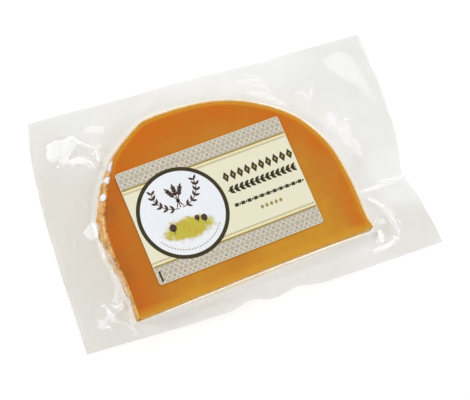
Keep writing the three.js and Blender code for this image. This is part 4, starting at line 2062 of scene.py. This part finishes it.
@dataclass
class Studio:
    """The camera, a plain pale floor and soft light."""

    target: Point = (-4.56, -10.26, 14.15)
    distance: float = 815.3
    azimuth: float = -54.5
    elevation: float = 71.65
    roll: float = 36.5
    lens: float = 107.23
    sensor: float = 36.0
    floor_half: float = 2.0

    def camera(self) -> Object:
        """The camera, at the photograph's viewing angle.

        Returns:
            The camera's object.
        """
        turn, rise = math.radians(self.azimuth), math.radians(self.elevation)
        look = Vector((-math.sin(turn) * math.cos(rise), math.cos(turn) * math.cos(rise), -math.sin(rise)))
        data = bpy.data.cameras.new("camera")
        data.lens = self.lens
        data.sensor_width = self.sensor
        data.clip_start = 0.01
        data.dof.use_dof = False
        camera = bpy.data.objects.new("camera", data)
        facing = look.to_track_quat("-Z", "Y").to_matrix().to_4x4()
        spin = Matrix.Rotation(math.radians(self.roll), 4, "Z")
        place = Vector(self.target) * MM - look * self.distance * MM
        camera.matrix_world = Matrix.Translation(place) @ facing @ spin
        bpy.context.scene.collection.objects.link(camera)
        bpy.context.scene.camera = camera
        return camera

    def floor(self) -> Object:
        """A plain pale floor.

        Returns:
            The floor's object.
        """
        half = self.floor_half / MM
        corners = np.array([(-half, -half, 0), (half, -half, 0), (half, half, 0), (-half, half, 0)])
        floor = make_object("floor", corners, [(0, 1, 2, 3)], smooth=False)
        material, _, shader = new_material("floor")
        shader.inputs["Base Color"].default_value = (0.5, 0.5, 0.5, 1)
        shader.inputs["Emission Color"].default_value = (1, 1, 1, 1)
        shader.inputs["Emission Strength"].default_value = 0.53
        shader.inputs["Roughness"].default_value = 0.9
        shader.inputs["Specular IOR Level"].default_value = 0.0
        floor.data.materials.append(material)
        return floor

    @staticmethod
    def lamp(name: str, place: Point, size: float, watts: float) -> None:
        """A square area lamp that faces the middle of the part.

        Args:
            name: its name.
            place: where it hangs, in metres.
            size: its size, in metres.
            watts: its power.
        """
        data = bpy.data.lights.new(name, "AREA")
        data.size = size
        data.energy = watts
        lamp = bpy.data.objects.new(name, data)
        lamp.location = place
        lamp.rotation_euler = (-Vector(place)).to_track_quat("-Z", "Y").to_euler()
        bpy.context.scene.collection.objects.link(lamp)

    def light(self) -> None:
        """Soft light from all round, three broad lamps, and two small ones for the film's glints."""
        scene = bpy.context.scene
        world = bpy.data.worlds.new("studio")
        world.use_nodes = True
        ground = world.node_tree.nodes["Background"]
        ground.inputs["Color"].default_value = (1, 1, 1, 1)
        ground.inputs["Strength"].default_value = 0.42
        scene.world = world
        scene.view_settings.view_transform = "Standard"
        scene.view_settings.look = "None"
        self.lamp("front", (0.35, -0.75, 0.95), 0.6, 4.3)
        self.lamp("back", (-0.1, 0.85, 0.85), 0.5, 1.3)
        self.lamp("rim", (0.75, 0.62, 0.24), 0.5, 4.4)
        self.lamp("left_glint", (-0.85, 0.3, 0.62), 0.2, 4.6)
        self.lamp("right_glint", (0.95, -0.05, 0.62), 0.16, 0.9)

    def build(self) -> None:
        """Sets up the whole studio."""
        self.camera()
        self.floor()
        self.light()


def main() -> None:
    """Builds the pack's pieces in order."""
    logging.basicConfig(level=logging.INFO, format="%(message)s")
    effects = Effects()
    Studio().build()
    form = SliceForm()
    cheese = CheeseSlice(form)
    pieces = [
        cheese.build_paste(PasteFinish().material(effects)),
        cheese.build_rind(RindFinish().material(effects)),
        Pouch(form, MarginForm()).build(FilmFinish().material(effects)),
        *Label().build(effects),
    ]
    for piece in pieces:
        log.info("%s: %d faces", piece.name, len(piece.data.polygons))
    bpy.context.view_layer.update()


if __name__ == "__main__":
    main()
